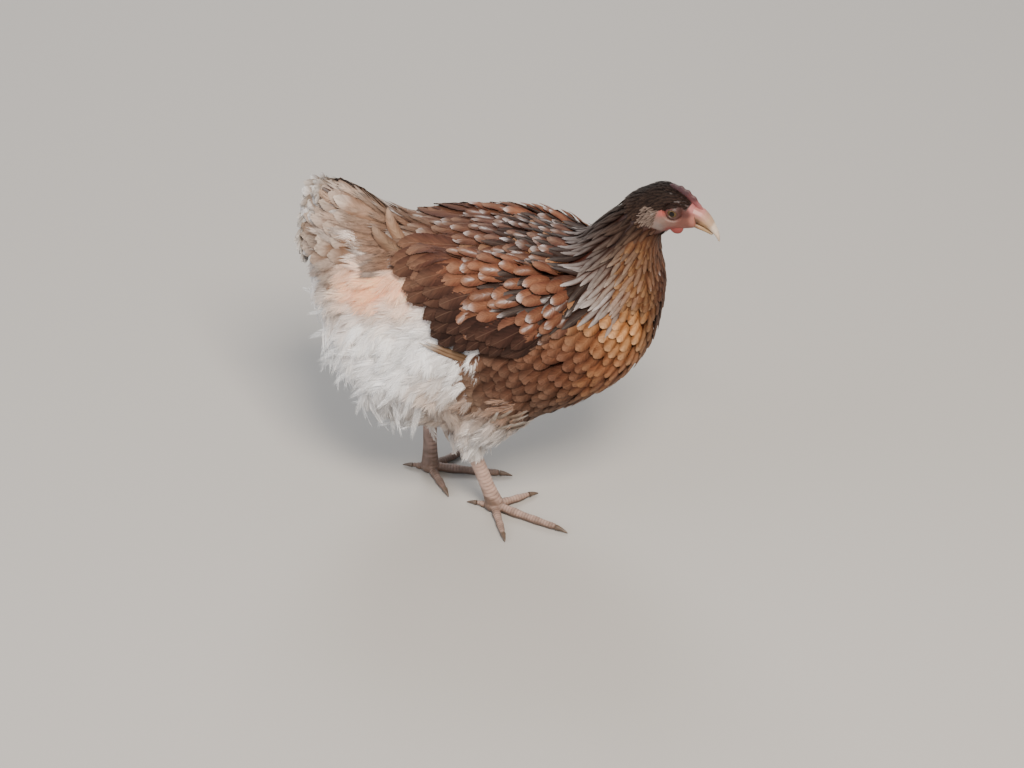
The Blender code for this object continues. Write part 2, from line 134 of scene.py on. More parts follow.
def lie(points, normals=None, yaw=0.0):
    """The way the plumage points, laid flat on the skin if its normals are given, and turned by yaw."""
    way = blend(LIE_NUMBERS, points)[:, :3]
    way[:, 1] *= np.tanh(points[:, 1] / PARTING)
    if normals is None:
        return way / np.linalg.norm(way, axis=1, keepdims=True)
    way -= (way * normals).sum(1, keepdims=True) * normals
    way /= np.linalg.norm(way, axis=1, keepdims=True)
    turn = np.broadcast_to(yaw, len(points))[:, None]
    return way * np.cos(turn) + np.cross(normals, way) * np.sin(turn)


def read_out(items, field, width, kind=np.float64):
    """One field of every item of a mesh's list, as rows."""
    found = np.empty(len(items) * width, kind)
    items.foreach_get(field, found)
    return found.reshape(-1, width)


def melted(name, nodes, cell, rounds):
    """The named solids joined into one closed surface of even cells, and smoothed."""
    bm = bmesh.new()
    for node in nodes:
        bm.from_mesh(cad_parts[node].data)
    mesh = bpy.data.meshes.new(name)
    bm.to_mesh(mesh)
    bm.free()
    piece = bpy.data.objects.new(name, mesh)
    bpy.context.scene.collection.objects.link(piece)
    remesh = piece.modifiers.new("melt", "REMESH")
    remesh.mode = "VOXEL"
    remesh.voxel_size = cell
    soften = piece.modifiers.new("soften", "SMOOTH")
    soften.factor = 0.5
    soften.iterations = rounds
    baked(piece)
    piece.data.shade_smooth()
    return piece


def baked(piece):
    """Turns a piece's modifiers into its mesh."""
    done = bpy.data.meshes.new_from_object(piece.evaluated_get(bpy.context.evaluated_depsgraph_get()))
    piece.modifiers.clear()
    piece.data = done


def unwrapped(piece):
    """Gives a piece a flat unwrap of its own shape, for baking."""
    bpy.ops.object.select_all(action="DESELECT")
    bpy.context.view_layer.objects.active = piece
    piece.select_set(True)
    bpy.ops.object.mode_set(mode="EDIT")
    bpy.ops.mesh.select_all(action="SELECT")
    bpy.ops.mesh.quads_convert_to_tris()
    bpy.ops.uv.smart_project(angle_limit=math.radians(66), island_margin=0.002)
    bpy.ops.object.mode_set(mode="OBJECT")
    piece.data.uv_layers[0].name = "OFBake"


def colour_layer(mesh, colours):
    """Stores a linear colour for each point of the mesh."""
    layer = mesh.attributes.new("tint", "FLOAT_COLOR", "POINT")
    rgba = np.ones((len(mesh.vertices), 4))
    rgba[:, :3] = colours
    layer.data.foreach_set("color", rgba.ravel())


def ramp(value, low, high):
    """0 at low, 1 at high, and straight between."""
    return np.clip((value - low) / (high - low), 0, 1)


LIE_NUMBERS = numbered(LIE)

# The head's own frame: forward along the bill, to the bird's left, and up, from midway between the eyes.
HEAD_PITCH = math.radians(15)
HEAD_YAW = math.radians(-7)
heading = np.array([math.cos(HEAD_YAW), math.sin(HEAD_YAW), 0])
head_left = np.array([-math.sin(HEAD_YAW), math.cos(HEAD_YAW), 0])
head_forward = heading * math.cos(HEAD_PITCH) - np.array([0, 0, math.sin(HEAD_PITCH)])
head_axes = np.array([head_forward, head_left, np.cross(head_forward, head_left)])
EYES = {}
for word, hand in (("right", -1), ("left", 1)):
    low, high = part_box(f"eye_{word}")
    EYES[word] = (np.array((low + high) / 2), head_left * hand)
head_middle = (EYES["right"][0] + EYES["left"][0]) / 2
EYEBALL = 6.2 * MM
EYE_OPENING = (3.8, 3.2)  # half the width and height of the gap between the lids, in millimetres
LID = 0.5 * MM  # how far the lids stand off the ball
LID_ROLL = 0.25 * MM  # the rounded roll along their edge, and the crease outside it
LID_CREASE = 0.3 * MM
LID_TUCK = 1.6 * MM  # how far the skin dips into the ball within the opening
LID_START, LID_FULL = 9.0, 5.0  # millimetres from the pupil where the lids begin, and are whole
EYE_AREA = 9.5  # millimetres round an eye where the skin's faces are smallest

# The bare face in the head's frame: forward, out from the middle and up, in millimetres, and colour.
FACE = [
    (-17, 14, -8, "7E6C63"),  # ear
    (-13, 14, -3, "7A665C"),
    (-8.5, 14, -3, "A85850"),  # behind the eye
    (-5, 14, 1, "6E4038"),
    (0, 13, -8, "7A5A50"),  # under the eye
    (-6, 13, -10, "80685E"),
    (0, 12, 6, "40261F"),  # brow
    # Before the eye the dark maroon-brown is painted shade, where the face turns away from the light.
    (7, 10, 1, "4E2721"),  # before the eye
    (5, 11, 4, "40241E"),
    (10, 9, 1, "522A24"),
    (10, 9, -6, "70443A"),
    # The pink at the comb's root is its own pink, paled further by painted light.
    (13, 6, 5, "B06C6A"),  # root of the comb
    (15, 6, -3, "A66C5E"),
    (10, 8, -13, "8A5246"),  # jaw
    (3, 8, -18, "96403A"),
    (-8, 12, -16, "80706A"),  # cheek
    (-12, 8, -22, "84746C"),
    (6, 0, -19, "86483E"),  # chin
]
FACE_REACH = 2.5 * MM  # how far each of these rows rules
# The upper and lower edges of the bare skin, by how far forward they are.
FACE_F = (-22, -12, -2, 5, 8.5, 11.5, 18)
FACE_TOP = (-6, 0, 5, 6.5, 3, 11, 11)
FACE_FLOOR = (-12, -19, -22, -21.5, -21, -19, -17)


def head_place(p):
    """Points in the head's frame, in millimetres."""
    return (p - head_middle) @ head_axes.T / MM


def bare(p, margin=0.0):
    """1 on the bare skin of the face and chin, 0 on the feathered head."""
    forward, _, up = head_place(p).T
    level = ramp(up - np.interp(forward, FACE_F, FACE_FLOOR), -margin, 1)
    level *= ramp(np.interp(forward, FACE_F, FACE_TOP) - up, -margin, 1)
    return level * ramp(forward, -22 - margin, -21) * ramp(p[:, 2] / MM, 262, 264)


def near_head(p):
    """1 on the head and its joint with the neck."""
    return (head_place(p)[:, 0] > -26) * (p[:, 2] > 0.262)


def near_eye(p):
    """1 round the front of each eye."""
    fronts = [centre + gaze * EYEBALL for centre, gaze in EYES.values()]
    return np.min([np.linalg.norm(p - front, axis=1) for front in fronts], axis=0) / MM < EYE_AREA


def refine(piece, wanted):
    """Halves the size of the piece's faces where wanted."""
    bm = bmesh.new()
    bm.from_mesh(piece.data)
    chosen = wanted(np.array([f.calc_center_median() for f in bm.faces]))
    edges = {e for f, on in zip(bm.faces, chosen) if on for e in f.edges}
    bmesh.ops.subdivide_edges(bm, edges=list(edges), cuts=1, use_grid_fill=True)
    bm.to_mesh(piece.data)
    bm.free()


def lidded(at, centre, gaze):
    """Draws the skin round one eye over the ball as two lids, and inside it within their opening."""
    out = (at - centre) @ gaze
    flat = at - centre - out[:, None] * gaze
    forward, up = flat @ head_axes[0], flat @ head_axes[2]
    away = np.hypot(forward, up)
    opening = np.hypot(forward / EYE_OPENING[0], up / EYE_OPENING[1]) / MM
    lid = np.sqrt(np.clip((EYEBALL + LID) ** 2 - away**2, 0, None))
    lid += LID_ROLL * np.exp(-(((opening - 1.2) / 0.12) ** 2))
    lid -= LID_CREASE * np.exp(-(((opening - 1.65) / 0.12) ** 2))
    lid -= LID_TUCK * ramp(opening, 1.08, 0.94)
    share = ramp(away / MM, LID_START, LID_FULL)
    share = share * share * (3 - 2 * share) * (out > 0)
    return at + ((lid - out) * share)[:, None] * gaze


skin = melted("skin", [*FLESH, "eye_right", "eye_left"], SKIN_CELL, SKIN_SMOOTHING)
at = read_out(skin.data.vertices, "co", 3)
outward = read_out(skin.data.vertex_normals, "vector", 3)
coat_depth = blend(LIE_NUMBERS, at)[:, 3:4] * MM
skin.data.vertices.foreach_set("co", (at - outward * coat_depth * COAT_SHARE).ravel())
skin.modifiers.new("relax", "SMOOTH").iterations = 4
baked(skin)
for area, rounds in ((near_head, 3), (near_head, 3), (near_eye, 2)):
    refine(skin, area)
    skin.modifiers.new("relax", "SMOOTH").iterations = rounds
    baked(skin)
at = read_out(skin.data.vertices, "co", 3)
for centre, gaze in EYES.values():
    at = lidded(at, centre, gaze)
skin.data.vertices.foreach_set("co", at.ravel())
skin.data.update()
unwrapped(skin)
hide = skin.data
at = read_out(hide.vertices, "co", 3)
hide_faces = read_out(hide.loops, "vertex_index", 1, np.int32).reshape(-1, 3)
hide_patch = read_out(hide.uv_layers["OFBake"].uv, "vector", 2).reshape(-1, 3, 2)
hide_normals = read_out(hide.vertex_normals, "vector", 3)[hide_faces].mean(1)
hide_normals /= np.linalg.norm(hide_normals, axis=1, keepdims=True)
hide_tree = BVHTree.FromPolygons(at.tolist(), hide_faces.tolist())
corners = at[hide_faces]
hide_area = np.linalg.norm(np.cross(corners[:, 1] - corners[:, 0], corners[:, 2] - corners[:, 0]), axis=1) / 2
# The skin's colour under the plumage, raised to that power as painted shade from the feathers over it.
under_plumage = blend(LIE_NUMBERS, at, UNDER_REACH)[:, 4:7] ** UNDER_SHADE
face_tint = blend(numbered(FACE), head_place(at) * MM, FACE_REACH)
colour_layer(hide, under_plumage + (face_tint - under_plumage) * bare(at, 0.3)[:, None])


def add(tree, kind, sockets=None, **options):
    """Adds a node. A socket is given a number, a colour, or another node's output to link."""
    made = tree.nodes.new(kind)
    for option, value in options.items():
        setattr(made, option, value)
    for key, value in (sockets or {}).items():
        if isinstance(value, bpy.types.NodeSocket):
            tree.links.new(value, made.inputs[key])
        else:
            made.inputs[key].default_value = value
    return made


def new_material(name):
    """An empty material, its node tree, and its output node."""
    made = bpy.data.materials.new(name)
    made.use_nodes = True
    made.node_tree.nodes.clear()
    return made, made.node_tree, add(made.node_tree, "ShaderNodeOutputMaterial")


def living_finish(name, clouds, shades, relief, sockets, pebble=None):
    """A finish over a piece's stored colours. Clouds of noise, so many to the metre, shade them. The
    relief, a strength and a depth, follows pebbles of the given size, or the clouds if there are none."""
    made, tree, out = new_material(name)
    tint = add(tree, "ShaderNodeAttribute", attribute_name="tint")
    place = add(tree, "ShaderNodeTexCoord").outputs["Object"]
    noise = add(tree, "ShaderNodeTexNoise", {"Vector": place, **clouds}).outputs["Fac"]
    shade = add(tree, "ShaderNodeMapRange", {"Value": noise, "To Min": shades[0], "To Max": shades[1]})
    toned = {0: tint.outputs["Color"], "Scale": shade.outputs["Result"]}
    toned = add(tree, "ShaderNodeVectorMath", toned, operation="SCALE")
    height = noise
    if pebble:
        height = add(tree, "ShaderNodeTexVoronoi", {"Vector": place, "Scale": 1 / pebble}).outputs["Distance"]
    bumps = {"Height": height, "Strength": relief[0], "Distance": relief[1]}
    bumps = add(tree, "ShaderNodeBump", bumps, invert=bool(pebble))
    sockets = {"Base Color": toned.outputs["Vector"], "Normal": bumps.outputs["Normal"], **sockets}
    surface = add(tree, "ShaderNodeBsdfPrincipled", sockets)
    tree.links.new(surface.outputs["BSDF"], out.inputs["Surface"])
    return made


# Living bird skin: thin, a little moist and finely pebbled, so it looks matt and lets some red through.
hide_finish = living_finish(
    "bird skin",
    {"Scale": 260, "Detail": 4},
    (0.54, 0.9),
    (0.35, 0.4 * MM),
    {
        "Roughness": 0.52,
        "Specular IOR Level": 0.4,
        "Subsurface Weight": 0.12,
        "Subsurface Radius": (0.004, 0.0015, 0.001),
        "Subsurface Scale": 0.5,
    },
    pebble=0.9 * MM,
)
hide.materials.append(hide_finish)
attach(skin, "root")
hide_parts(*FLESH)

# --- contour feathers of the breast, flanks and thighs ----
# Short, rounded, slightly cupped vanes of keratin that overlap like tiles. Each is a shaft with locks
# of barbs on both sides, rooted in the skin and rising to the coat's surface at its tip.
PATH_STEPS = 6
PATCH = 0.003  # the size of one feather's patch on the skin's unwrap
FLECK = "D4CCCC"  # white flecks
FLECK_WIDE = 1.9 * MM
FLECKED_TIPS = 0.6  # the share of flecks that cover the tip; the others run along the shaft
TRIES = 6  # places tried for each feather that there is room for

# A round-tipped vane from base to tip: its barbs' angles, and their lengths as shares of the longest.
ROUND_ANGLES = (45, 47, 49, 51, 52, 53, 52, 34, 0)
ROUND_REACH = (0.45, 0.68, 0.82, 0.88, 0.88, 0.86, 0.84, 0.84, 0.72)
BARB_ROWS = (0.4, 0.8, 0.975)  # where along a barb the vane's mesh has its rows
BARB_LENGTH = 1.5  # the longest barb, in half widths of the feather

# Places as above, then the ground, centre and tip colours, length and half width in millimetres, and
# the share of feathers that carry a white fleck.
BREAST = [
    # The three darkest rows, down the front of the breast, are painted shade where it turns away from the
    # light.
    (122, 10, 232, "422014", "563322", "65422E", 16, 3.8, 0),
    (126, 0, 205, "321914", "452518", "533022", 18, 4.4, 0),
    (123, 15, 210, "3A2014", "4E2E1E", "5E3C2A", 18, 4.4, 0),
    (117, 32, 208, "A36637", "DAA16C", "EBBB8E", 18, 4.9, 0),
    (112, 38, 172, "865130", "B27955", "C7946C", 20, 5.4, 0),
    (96, 48, 168, "6E3E28", "905A3A", "A6764F", 21, 5.6, 0),
    (100, 0, 138, "5C3422", "78503A", "8C6650", 22, 5.8, 0),
    (75, 58, 178, "512F21", "6A4330", "7E5948", 22, 6.0, 0),
    (60, 60, 138, "4D3122", "674534", "7F614F", 24, 6.4, 0),
    (30, 72, 160, "42281E", "59392B", "6D4F3F", 25, 6.8, 0),
    (20, 60, 116, "583F33", "715749", "8E796B", 26, 6.8, 0.05),
    (-14, 76, 152, "5D4232", "7B5D4B", "977D6A", 26, 6.8, 0.05),
    (40, 0, 100, "6B4F3F", "876D5B", "A48D7D", 24, 6.5, 0),
    (-8, 20, 86, "988577", "AE9F92", "C7BCB4", 26, 6.8, 0.1),
]


def scatter(seed, spacing, wanted):
    """Feather roots over the skin, evenly apart by spacing, where wanted is above a random share."""
    rng = np.random.default_rng(seed)
    likely = hide_area * (wanted(corners.mean(1)) > 0)
    count = int(likely.sum() / spacing**2 * TRIES)
    face = rng.choice(len(likely), count, p=likely / likely.sum())
    mix = rng.dirichlet((1, 1, 1), count)
    points = (corners[face] * mix[:, :, None]).sum(1)
    chosen = rng.random(count) < wanted(points)
    points, face, mix = points[chosen], face[chosen], mix[chosen]
    taken, kept = {}, []
    cells = np.floor(points / spacing).astype(int).tolist()
    around = [(a, b, c) for a in (-1, 0, 1) for b in (-1, 0, 1) for c in (-1, 0, 1)]
    listed = points.tolist()
    for i, ((a, b, c), (x, y, z)) in enumerate(zip(cells, listed)):
        near = (listed[j] for da, db, dc in around for j in taken.get((a + da, b + db, c + dc), ()))
        if all((x - u) ** 2 + (y - v) ** 2 + (z - w) ** 2 > spacing**2 for u, v, w in near):
            taken.setdefault((a, b, c), []).append(i)
            kept.append(i)
    patch = (hide_patch[face[kept]] * mix[kept][:, :, None]).sum(1)
    return points[kept], patch, rng


def paths(points, lengths, yaw, free=1.0):
    """Lines over the skin along the lie of the plumage, with their normals and sideways directions.
    Past the share called free, a line leaves the skin and runs straight on."""
    line, up, side = (np.empty((len(points), PATH_STEPS + 1, 3)) for _ in range(3))
    ahead = points
    for k in range(PATH_STEPS + 1):
        if k / PATH_STEPS <= free:
            hits = [hide_tree.find_nearest(p) for p in ahead.tolist()]
            ahead = np.array([hit[0] for hit in hits])
            normal = hide_normals[[hit[2] for hit in hits]]
            way = lie(ahead, normal, yaw)
        line[:, k], up[:, k], side[:, k] = ahead, normal, np.cross(normal, way)
        ahead = ahead + way * (lengths / PATH_STEPS)[:, None]
    return line, up, side


def vane(locks, angles, outline):
    """A feather's form. For each point: its station on the shaft, its side, how far out along its barb,
    the barb's angle, and its length as a share of the longest. Then the triangles between them, and the
    last barb's length."""
    stations = np.linspace(0, 1, locks + 1)
    reach = np.interp(stations, np.linspace(0, 1, len(outline)), outline)
    angle = np.radians(np.interp(stations, np.linspace(0, 1, len(angles)), angles))
    points = [(v, 0, 0, a, r) for v, a, r in zip(stations, angle, reach)]
    faces = []
    for side in (-1, 1):
        first = len(points)
        for share in BARB_ROWS:
            points += [(v, side, share, a, r) for v, a, r in zip(stations, angle, reach)]
        points += [(v + 0.4 / locks, side, 1.0, a, r) for v, a, r in zip(stations, angle, reach)]
        for i in range(locks):
            lines = [i] + [first + i + k * (locks + 1) for k in range(4)]
            fan = []
            for a, b in zip(lines[:3], lines[1:4]):
                fan += [(a, a + 1, b + 1), (a, b + 1, b)]
            fan.append((lines[3], lines[3] + 1, lines[4]))
            faces += fan if side > 0 else [f[::-1] for f in fan]
    return np.array(points), np.array(faces), outline[-1]


def feathered(name, points, faces, tints, vanes, patches):
    """A mesh of feathers from arrays, with its colours, its place-in-feather layer and its bake map."""
    mesh = bpy.data.meshes.new(name)
    mesh.vertices.add(len(points))
    mesh.vertices.foreach_set("co", points.ravel())
    mesh.loops.add(faces.size)
    mesh.loops.foreach_set("vertex_index", faces.ravel().astype(np.int32))
    mesh.polygons.add(len(faces))
    mesh.polygons.foreach_set("loop_start", np.arange(0, faces.size, 3, dtype=np.int32))
    mesh.update()
    mesh.shade_smooth()
    colour_layer(mesh, tints)
    mesh.attributes.new("vane", "FLOAT_VECTOR", "POINT").data.foreach_set("vector", vanes.ravel())
    mesh.uv_layers.new(name="OFBake").uv.foreach_set("vector", patches[faces.ravel()].ravel())
    piece = bpy.data.objects.new(name, mesh)
    bpy.context.scene.collection.objects.link(piece)
    return piece


def swell(points, size):
    """A smooth unevenness over the body, between -1 and 1, with lumps of about the given size. Shifted
    points give another one."""
    x, y, z = (points / size).T
    return np.sin(1.1 * x + 1.7 * z + 0.6 * np.sin(1.9 * y)) * np.sin(1.5 * y - 0.8 * x + np.sin(1.3 * z))


def lay(
    name, table, roots, form, depth=1.0, cup=0.07, rim=0.9, stripe=0.7, fringe=0.8, loose=0.08, free=1.0,
    ruffle=0.02, swirl=0.08, puff=0.05, root=0.7, tip_from=0.68, turn=0.0, patchy=0.1
):
    """Feathers of one form at the roots, sized and coloured by the table. depth scales how high the
    tips stand, cup how far the edges bend down, rim shades the edges, stripe is the half width of the
    centre's colour, fringe is how much of the tip's colour runs round the edge, loose and swirl are how
    unevenly they lie one by one and lock by lock, free is where they leave the skin, ruffle is how far
    their barbs stray up and down, puff how far whole locks do, root sets the painted shade on the
    feathers' bases under the feathers over them, tip_from is where the tip's colour begins, turn is a yaw
    they all share, and patchy how much their colours wander over the body."""
    points, patch, rng = roots
    form_points, form_faces, tip_reach = form
    count = len(points)
    mixed = blend(numbered(table), points)
    ground, centre, tip = mixed[:, None, 0:3], mixed[:, None, 3:6], mixed[:, None, 6:9]
    length = mixed[:, 9:10] * MM * rng.normal(1, 0.08, (count, 1))
    half = mixed[:, 10:11] * MM * rng.normal(1, 0.07, (count, 1))
    yaw = turn + rng.normal(0, loose, count) + swirl * swell(points, 13 * MM)
    line, up, side = paths(points, length[:, 0], yaw, free)

    # Each point's place along and across its feather, on the skin.
    station, hand, share, angle, barb_reach = form_points.T
    barb = half * BARB_LENGTH * barb_reach * rng.normal(1, 0.015, (count, len(station)))
    shaft = length - half * BARB_LENGTH * tip_reach
    along = station * shaft + share * barb * np.cos(angle)
    across = hand * share * barb * np.sin(angle)
    across += (0.05 * half) * np.sin(along / length * 5 + rng.uniform(0, 6, (count, 1)))
    place = np.clip(along / length * PATH_STEPS, 0, PATH_STEPS - 1e-6)
    step = place.astype(int)
    part = (place - step)[:, :, None]
    each = np.arange(count)[:, None]
    middle, outward, sideways = (
        track[each, step] * (1 - part) + track[each, step + 1] * part for track in (line, up, side)
    )

    # Its height over the skin: rising from root to tip, cupped, tilted and ruffled.
    t = np.clip(along / length, 0, 1)
    u = across / half
    stand = blend(LIE_NUMBERS, points)[:, 3:4] * MM * depth * rng.uniform(0.95, 1.03, (count, 1))
    stand *= 1 + puff * swell(points + 0.02, 8 * MM)[:, None]
    height = stand * (0.1 + 0.65 * (1 - (1 - t) ** 2.2) + 0.25 * t) - cup * half * u**2
    height += across * rng.normal(0, 0.045, (count, 1))
    height += ruffle * half * rng.standard_normal(u.shape) * share
    places = middle + sideways * across[:, :, None] + outward * height[:, :, None]

    # Its colour: ground, centre and tip, then a white fleck down the shaft or over the tip.
    t, u = t[:, :, None], np.abs(u)[:, :, None]
    inner = ramp(u, stripe, stripe * 0.4) * ramp(t, 0.1, 0.5)
    tipped = ramp(t, tip_from, 1.0) * rng.uniform(0.4, 1, (count, 1, 1))
    colour = ground + (centre + (tip - centre) * tipped - ground) * inner
    colour += (tip - colour) * tipped * fringe
    fleck = (rng.random(count) < mixed[:, 11])[:, None, None] * rng.uniform(0.4, 0.95, (count, 1, 1))
    fleck_end = rng.uniform(0.88, 1.02, (count, 1, 1))
    fleck_start = rng.uniform(0.25, 0.55, (count, 1, 1))
    streak = ramp(u, FLECK_WIDE / half[:, :, None], 0.06)
    streak *= ramp(t, fleck_start, fleck_start + 0.2) * ramp(t, fleck_end, fleck_end - 0.1)
    at_tip = ramp(t, fleck_start * 0.4 + 0.66, fleck_start * 0.4 + 0.76)
    fleck = fleck * np.where(rng.random((count, 1, 1)) < FLECKED_TIPS, at_tip, streak)
    _, lock = np.unique(np.round(station * 40) * 3 + hand, return_inverse=True)
    ragged = rng.uniform(0.1, 1.25, (count, lock.max() + 1))[:, lock]
    colour += (linear(FLECK) - colour) * fleck * np.clip(ragged, 0, 1)[:, :, None]

    # Its shade: darker edges, painted shade on the bases under the feathers over them, and small
    #     # differences by barb, by feather and over the body.
    colour *= 1 - (1 - rim) * ramp(u, 0.5, 1.0)
    colour *= rng.normal(1, 0.07, (count, lock.max() + 1))[:, lock][:, :, None]
    colour *= (1 + patchy * swell(points - 0.03, 11 * MM))[:, None, None]
    # The bases of the feathers get painted shade from the feathers over them.
    colour *= rng.normal(1, 0.08, (count, 1, 1)) * (root + (1 - root) * ramp(t, 0, 0.45))
    seeds = np.broadcast_to(rng.random((count, 1)), across.shape)
    box = np.stack([across / length, t[:, :, 0] - 0.5], 2) * PATCH
    faces = form_faces[None] + (np.arange(count) * len(station))[:, None, None]
    return feathered(
        name,
        places.reshape(-1, 3),
        faces.reshape(-1, 3),
        np.clip(colour, 0, 1).reshape(-1, 3),
        np.stack([across / half, t[:, :, 0], seeds], 2).reshape(-1, 3),
        (patch[:, None] + box).reshape(-1, 2),
    )


def dress(piece, material):
    """Gives a piece of the coat its finish and ties it to the bird."""
    piece.data.materials.append(material)
    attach(piece, "root")


# Feather keratin: barbs hooked into a dry matt sheet, so it looks faintly ribbed and streaked, with a thin
# pale shaft. A real vane has several hundred barbs; they are drawn coarse enough to show.
vane_finish, tree, out = new_material("feather keratin")
BARBS = 34  # ridges along one vane
tint = add(tree, "ShaderNodeAttribute", attribute_name="tint")
spot = add(tree, "ShaderNodeAttribute", attribute_name="vane").outputs["Vector"]
split = add(tree, "ShaderNodeSeparateXYZ", {0: spot})
away = add(tree, "ShaderNodeMath", {0: split.outputs["X"]}, operation="ABSOLUTE").outputs[0]
slant = {0: away, 1: -0.22, 2: split.outputs["Y"]}
slant = add(tree, "ShaderNodeMath", slant, operation="MULTIPLY_ADD").outputs[0]
ridge = add(tree, "ShaderNodeMath", {0: slant, 1: 2 * math.pi * BARBS}, operation="MULTIPLY")
ridge = add(tree, "ShaderNodeMath", {0: ridge.outputs[0]}, operation="SINE")
lock = add(tree, "ShaderNodeCombineXYZ", {0: away, 1: slant, 2: split.outputs["Z"]})
stretch = add(tree, "ShaderNodeVectorMath", {0: lock.outputs[0], 1: (1.5, 16, 40)}, operation="MULTIPLY")
streaks = {"Vector": stretch.outputs[0], "Scale": 1.0, "Detail": 4, "Roughness": 0.65}
streaks = add(tree, "ShaderNodeTexNoise", streaks).outputs["Fac"]
barbs = add(tree, "ShaderNodeMath", {0: ridge.outputs[0], 1: 0.06, 2: streaks}, operation="MULTIPLY_ADD")
shade = {"Value": barbs.outputs[0], "From Min": 0.25, "From Max": 0.75, "To Min": 0.42, "To Max": 0.8}
shade = add(tree, "ShaderNodeMapRange", shade)
shaft = {"Value": away, "From Min": 0.015, "From Max": 0.05, "To Min": 0.12, "To Max": 0.0}
shaft = add(tree, "ShaderNodeMapRange", shaft)
toned = {0: tint.outputs["Color"], "Scale": shade.outputs["Result"]}
toned = add(tree, "ShaderNodeVectorMath", toned, operation="SCALE")
shafted = {"Factor": shaft.outputs["Result"], 6: toned.outputs["Vector"], 7: (*linear("9A7E68"), 1)}
shafted = add(tree, "ShaderNodeMix", shafted, data_type="RGBA")
raised = add(tree, "ShaderNodeBump", {"Height": barbs.outputs[0], "Strength": 0.5, "Distance": 0.3 * MM})
surface = add(
    tree,
    "ShaderNodeBsdfPrincipled",
    {
        "Base Color": shafted.outputs[2],
        "Roughness": 0.66,
        "Specular IOR Level": 0.09,
        "Sheen Weight": 0.02,
        "Sheen Roughness": 0.5,
        "Normal": raised.outputs["Normal"],
    },
)
tree.links.new(surface.outputs["BSDF"], out.inputs["Surface"])

# Where the sorts of plumage meet, in millimetres: the wing's lower edge, the cape's lower edge, the
# foremost line of the white fluff and the lower edge of the tail above it.
WING_X = (-81, -79, -74, -58, -40, -26, -14, 15, 34, 53, 62)
WING_Z = (262, 250, 233, 210, 189, 181, 179, 186, 206, 217, 226)
CAPE_X = (14, 21, 39, 52, 64, 76, 90, 102, 112, 124)
CAPE_Z = (266, 259, 248, 226, 212, 206, 209, 220, 227, 236)
FLUFF_Z = (60, 102, 118, 132, 150, 185, 190, 196, 204, 212, 222, 236, 242, 250)
FLUFF_X = (-28, -39, -30, -17, -14, -14, -26, -34, -42, -58, -72, -86, -98, -112)
TAIL_X = (-170, -134, -116, -108)
TAIL_Z = (220, 203, 214, 262)


def on_wing(p):
    """1 on the folded wings, 0 away from them."""
    x, y, z = (p / MM).T
    below = ramp(z, np.interp(x, WING_X, WING_Z) - 1, np.interp(x, WING_X, WING_Z) + 1)
    return below * ramp(x, -81, -79) * ramp(62 - x, 0, 2) * ramp(np.abs(y), 34, 38)


def on_neck(p):
    """1 above the cape's lower edge, 0 below it."""
    x, y, z = (p / MM).T
    return ramp(z, np.interp(x, CAPE_X, CAPE_Z) - 1, np.interp(x, CAPE_X, CAPE_Z) + 1)


def fluffy(p):
    """1 where the plumage is loose fluff: the vent, the rear of the belly and the legs."""
    x, y, z = (p / MM).T
    rear = ramp(np.interp(z, FLUFF_Z, FLUFF_X) - x, -5, 5) * ramp(np.interp(x, TAIL_X, TAIL_Z) - z, -3, 3)
    leg = ramp(144 - z, 0, 5) * ramp(32 - x, 0, 6)
    return np.maximum(rear, leg)


def tip(p, reach):
    """About where the tip of a feather rooted at each point comes."""
    for _ in range(3):
        p = p + lie(p) * reach / 3 * MM
    return p


ROUND_FORM = vane(20, ROUND_ANGLES, ROUND_REACH)


def on_breast(p):
    """1 on the breast, belly and flanks, short of the neck, the wings and the fluff."""
    below = (1 - on_neck(tip(p, 16))) * (1 - on_wing(tip(p, 6))) * (1 - fluffy(p))
    return below * ramp(250 - p[:, 2] / MM, 0, 12) * ramp(p[:, 0] / MM, -28, -20)


breast = lay("breast_feathers", BREAST, scatter(3, 6.5 * MM, on_breast), ROUND_FORM)
dress(breast, vane_finish)

# --- back and saddle feathers -----------------------------
# Softer and longer vanes that run back over the spine, flecked with white behind the cape and paling
# to tan over the root of the tail.
BACK = [
    (20, 0, 258, "503129", "6A4B3D", "82695B", 28, 4.8, 0.75),
    (10, 30, 252, "4E2E20", "634030", "7A5A48", 28, 5.2, 0.75),
    (-25, 0, 257, "513124", "65422F", "826451", 30, 5.4, 0.44),
    (-25, 32, 250, "4F2E21", "653F30", "7B5744", 30, 5.6, 0.56),
    (-60, 0, 252, "614234", "7E6251", "9E8B7D", 31, 5.6, 0.38),
    (-60, 34, 244, "543528", "6E4B3F", "937E6E", 31, 5.8, 0.38),
]


def on_back(p):
    """1 on the back and saddle between cape, wings and tail."""
    x, y, z = (p / MM).T
    above_wing = np.where((x > -80) & (x < 40), ramp(z, 228, 236), ramp(z, 208, 216))
    return (1 - on_neck(tip(p, 18))) * (1 - on_wing(p)) * (1 - fluffy(p)) * above_wing * (x < 70)


back_roots = scatter(5, 7.0 * MM, lambda p: on_back(p) * ramp(p[:, 0] / MM, -70, -56))
back_coat = lay("back_feathers", BACK, back_roots, ROUND_FORM, depth=1.2, stripe=0.6, free=0.8, ruffle=0.03)
dress(back_coat, vane_finish)

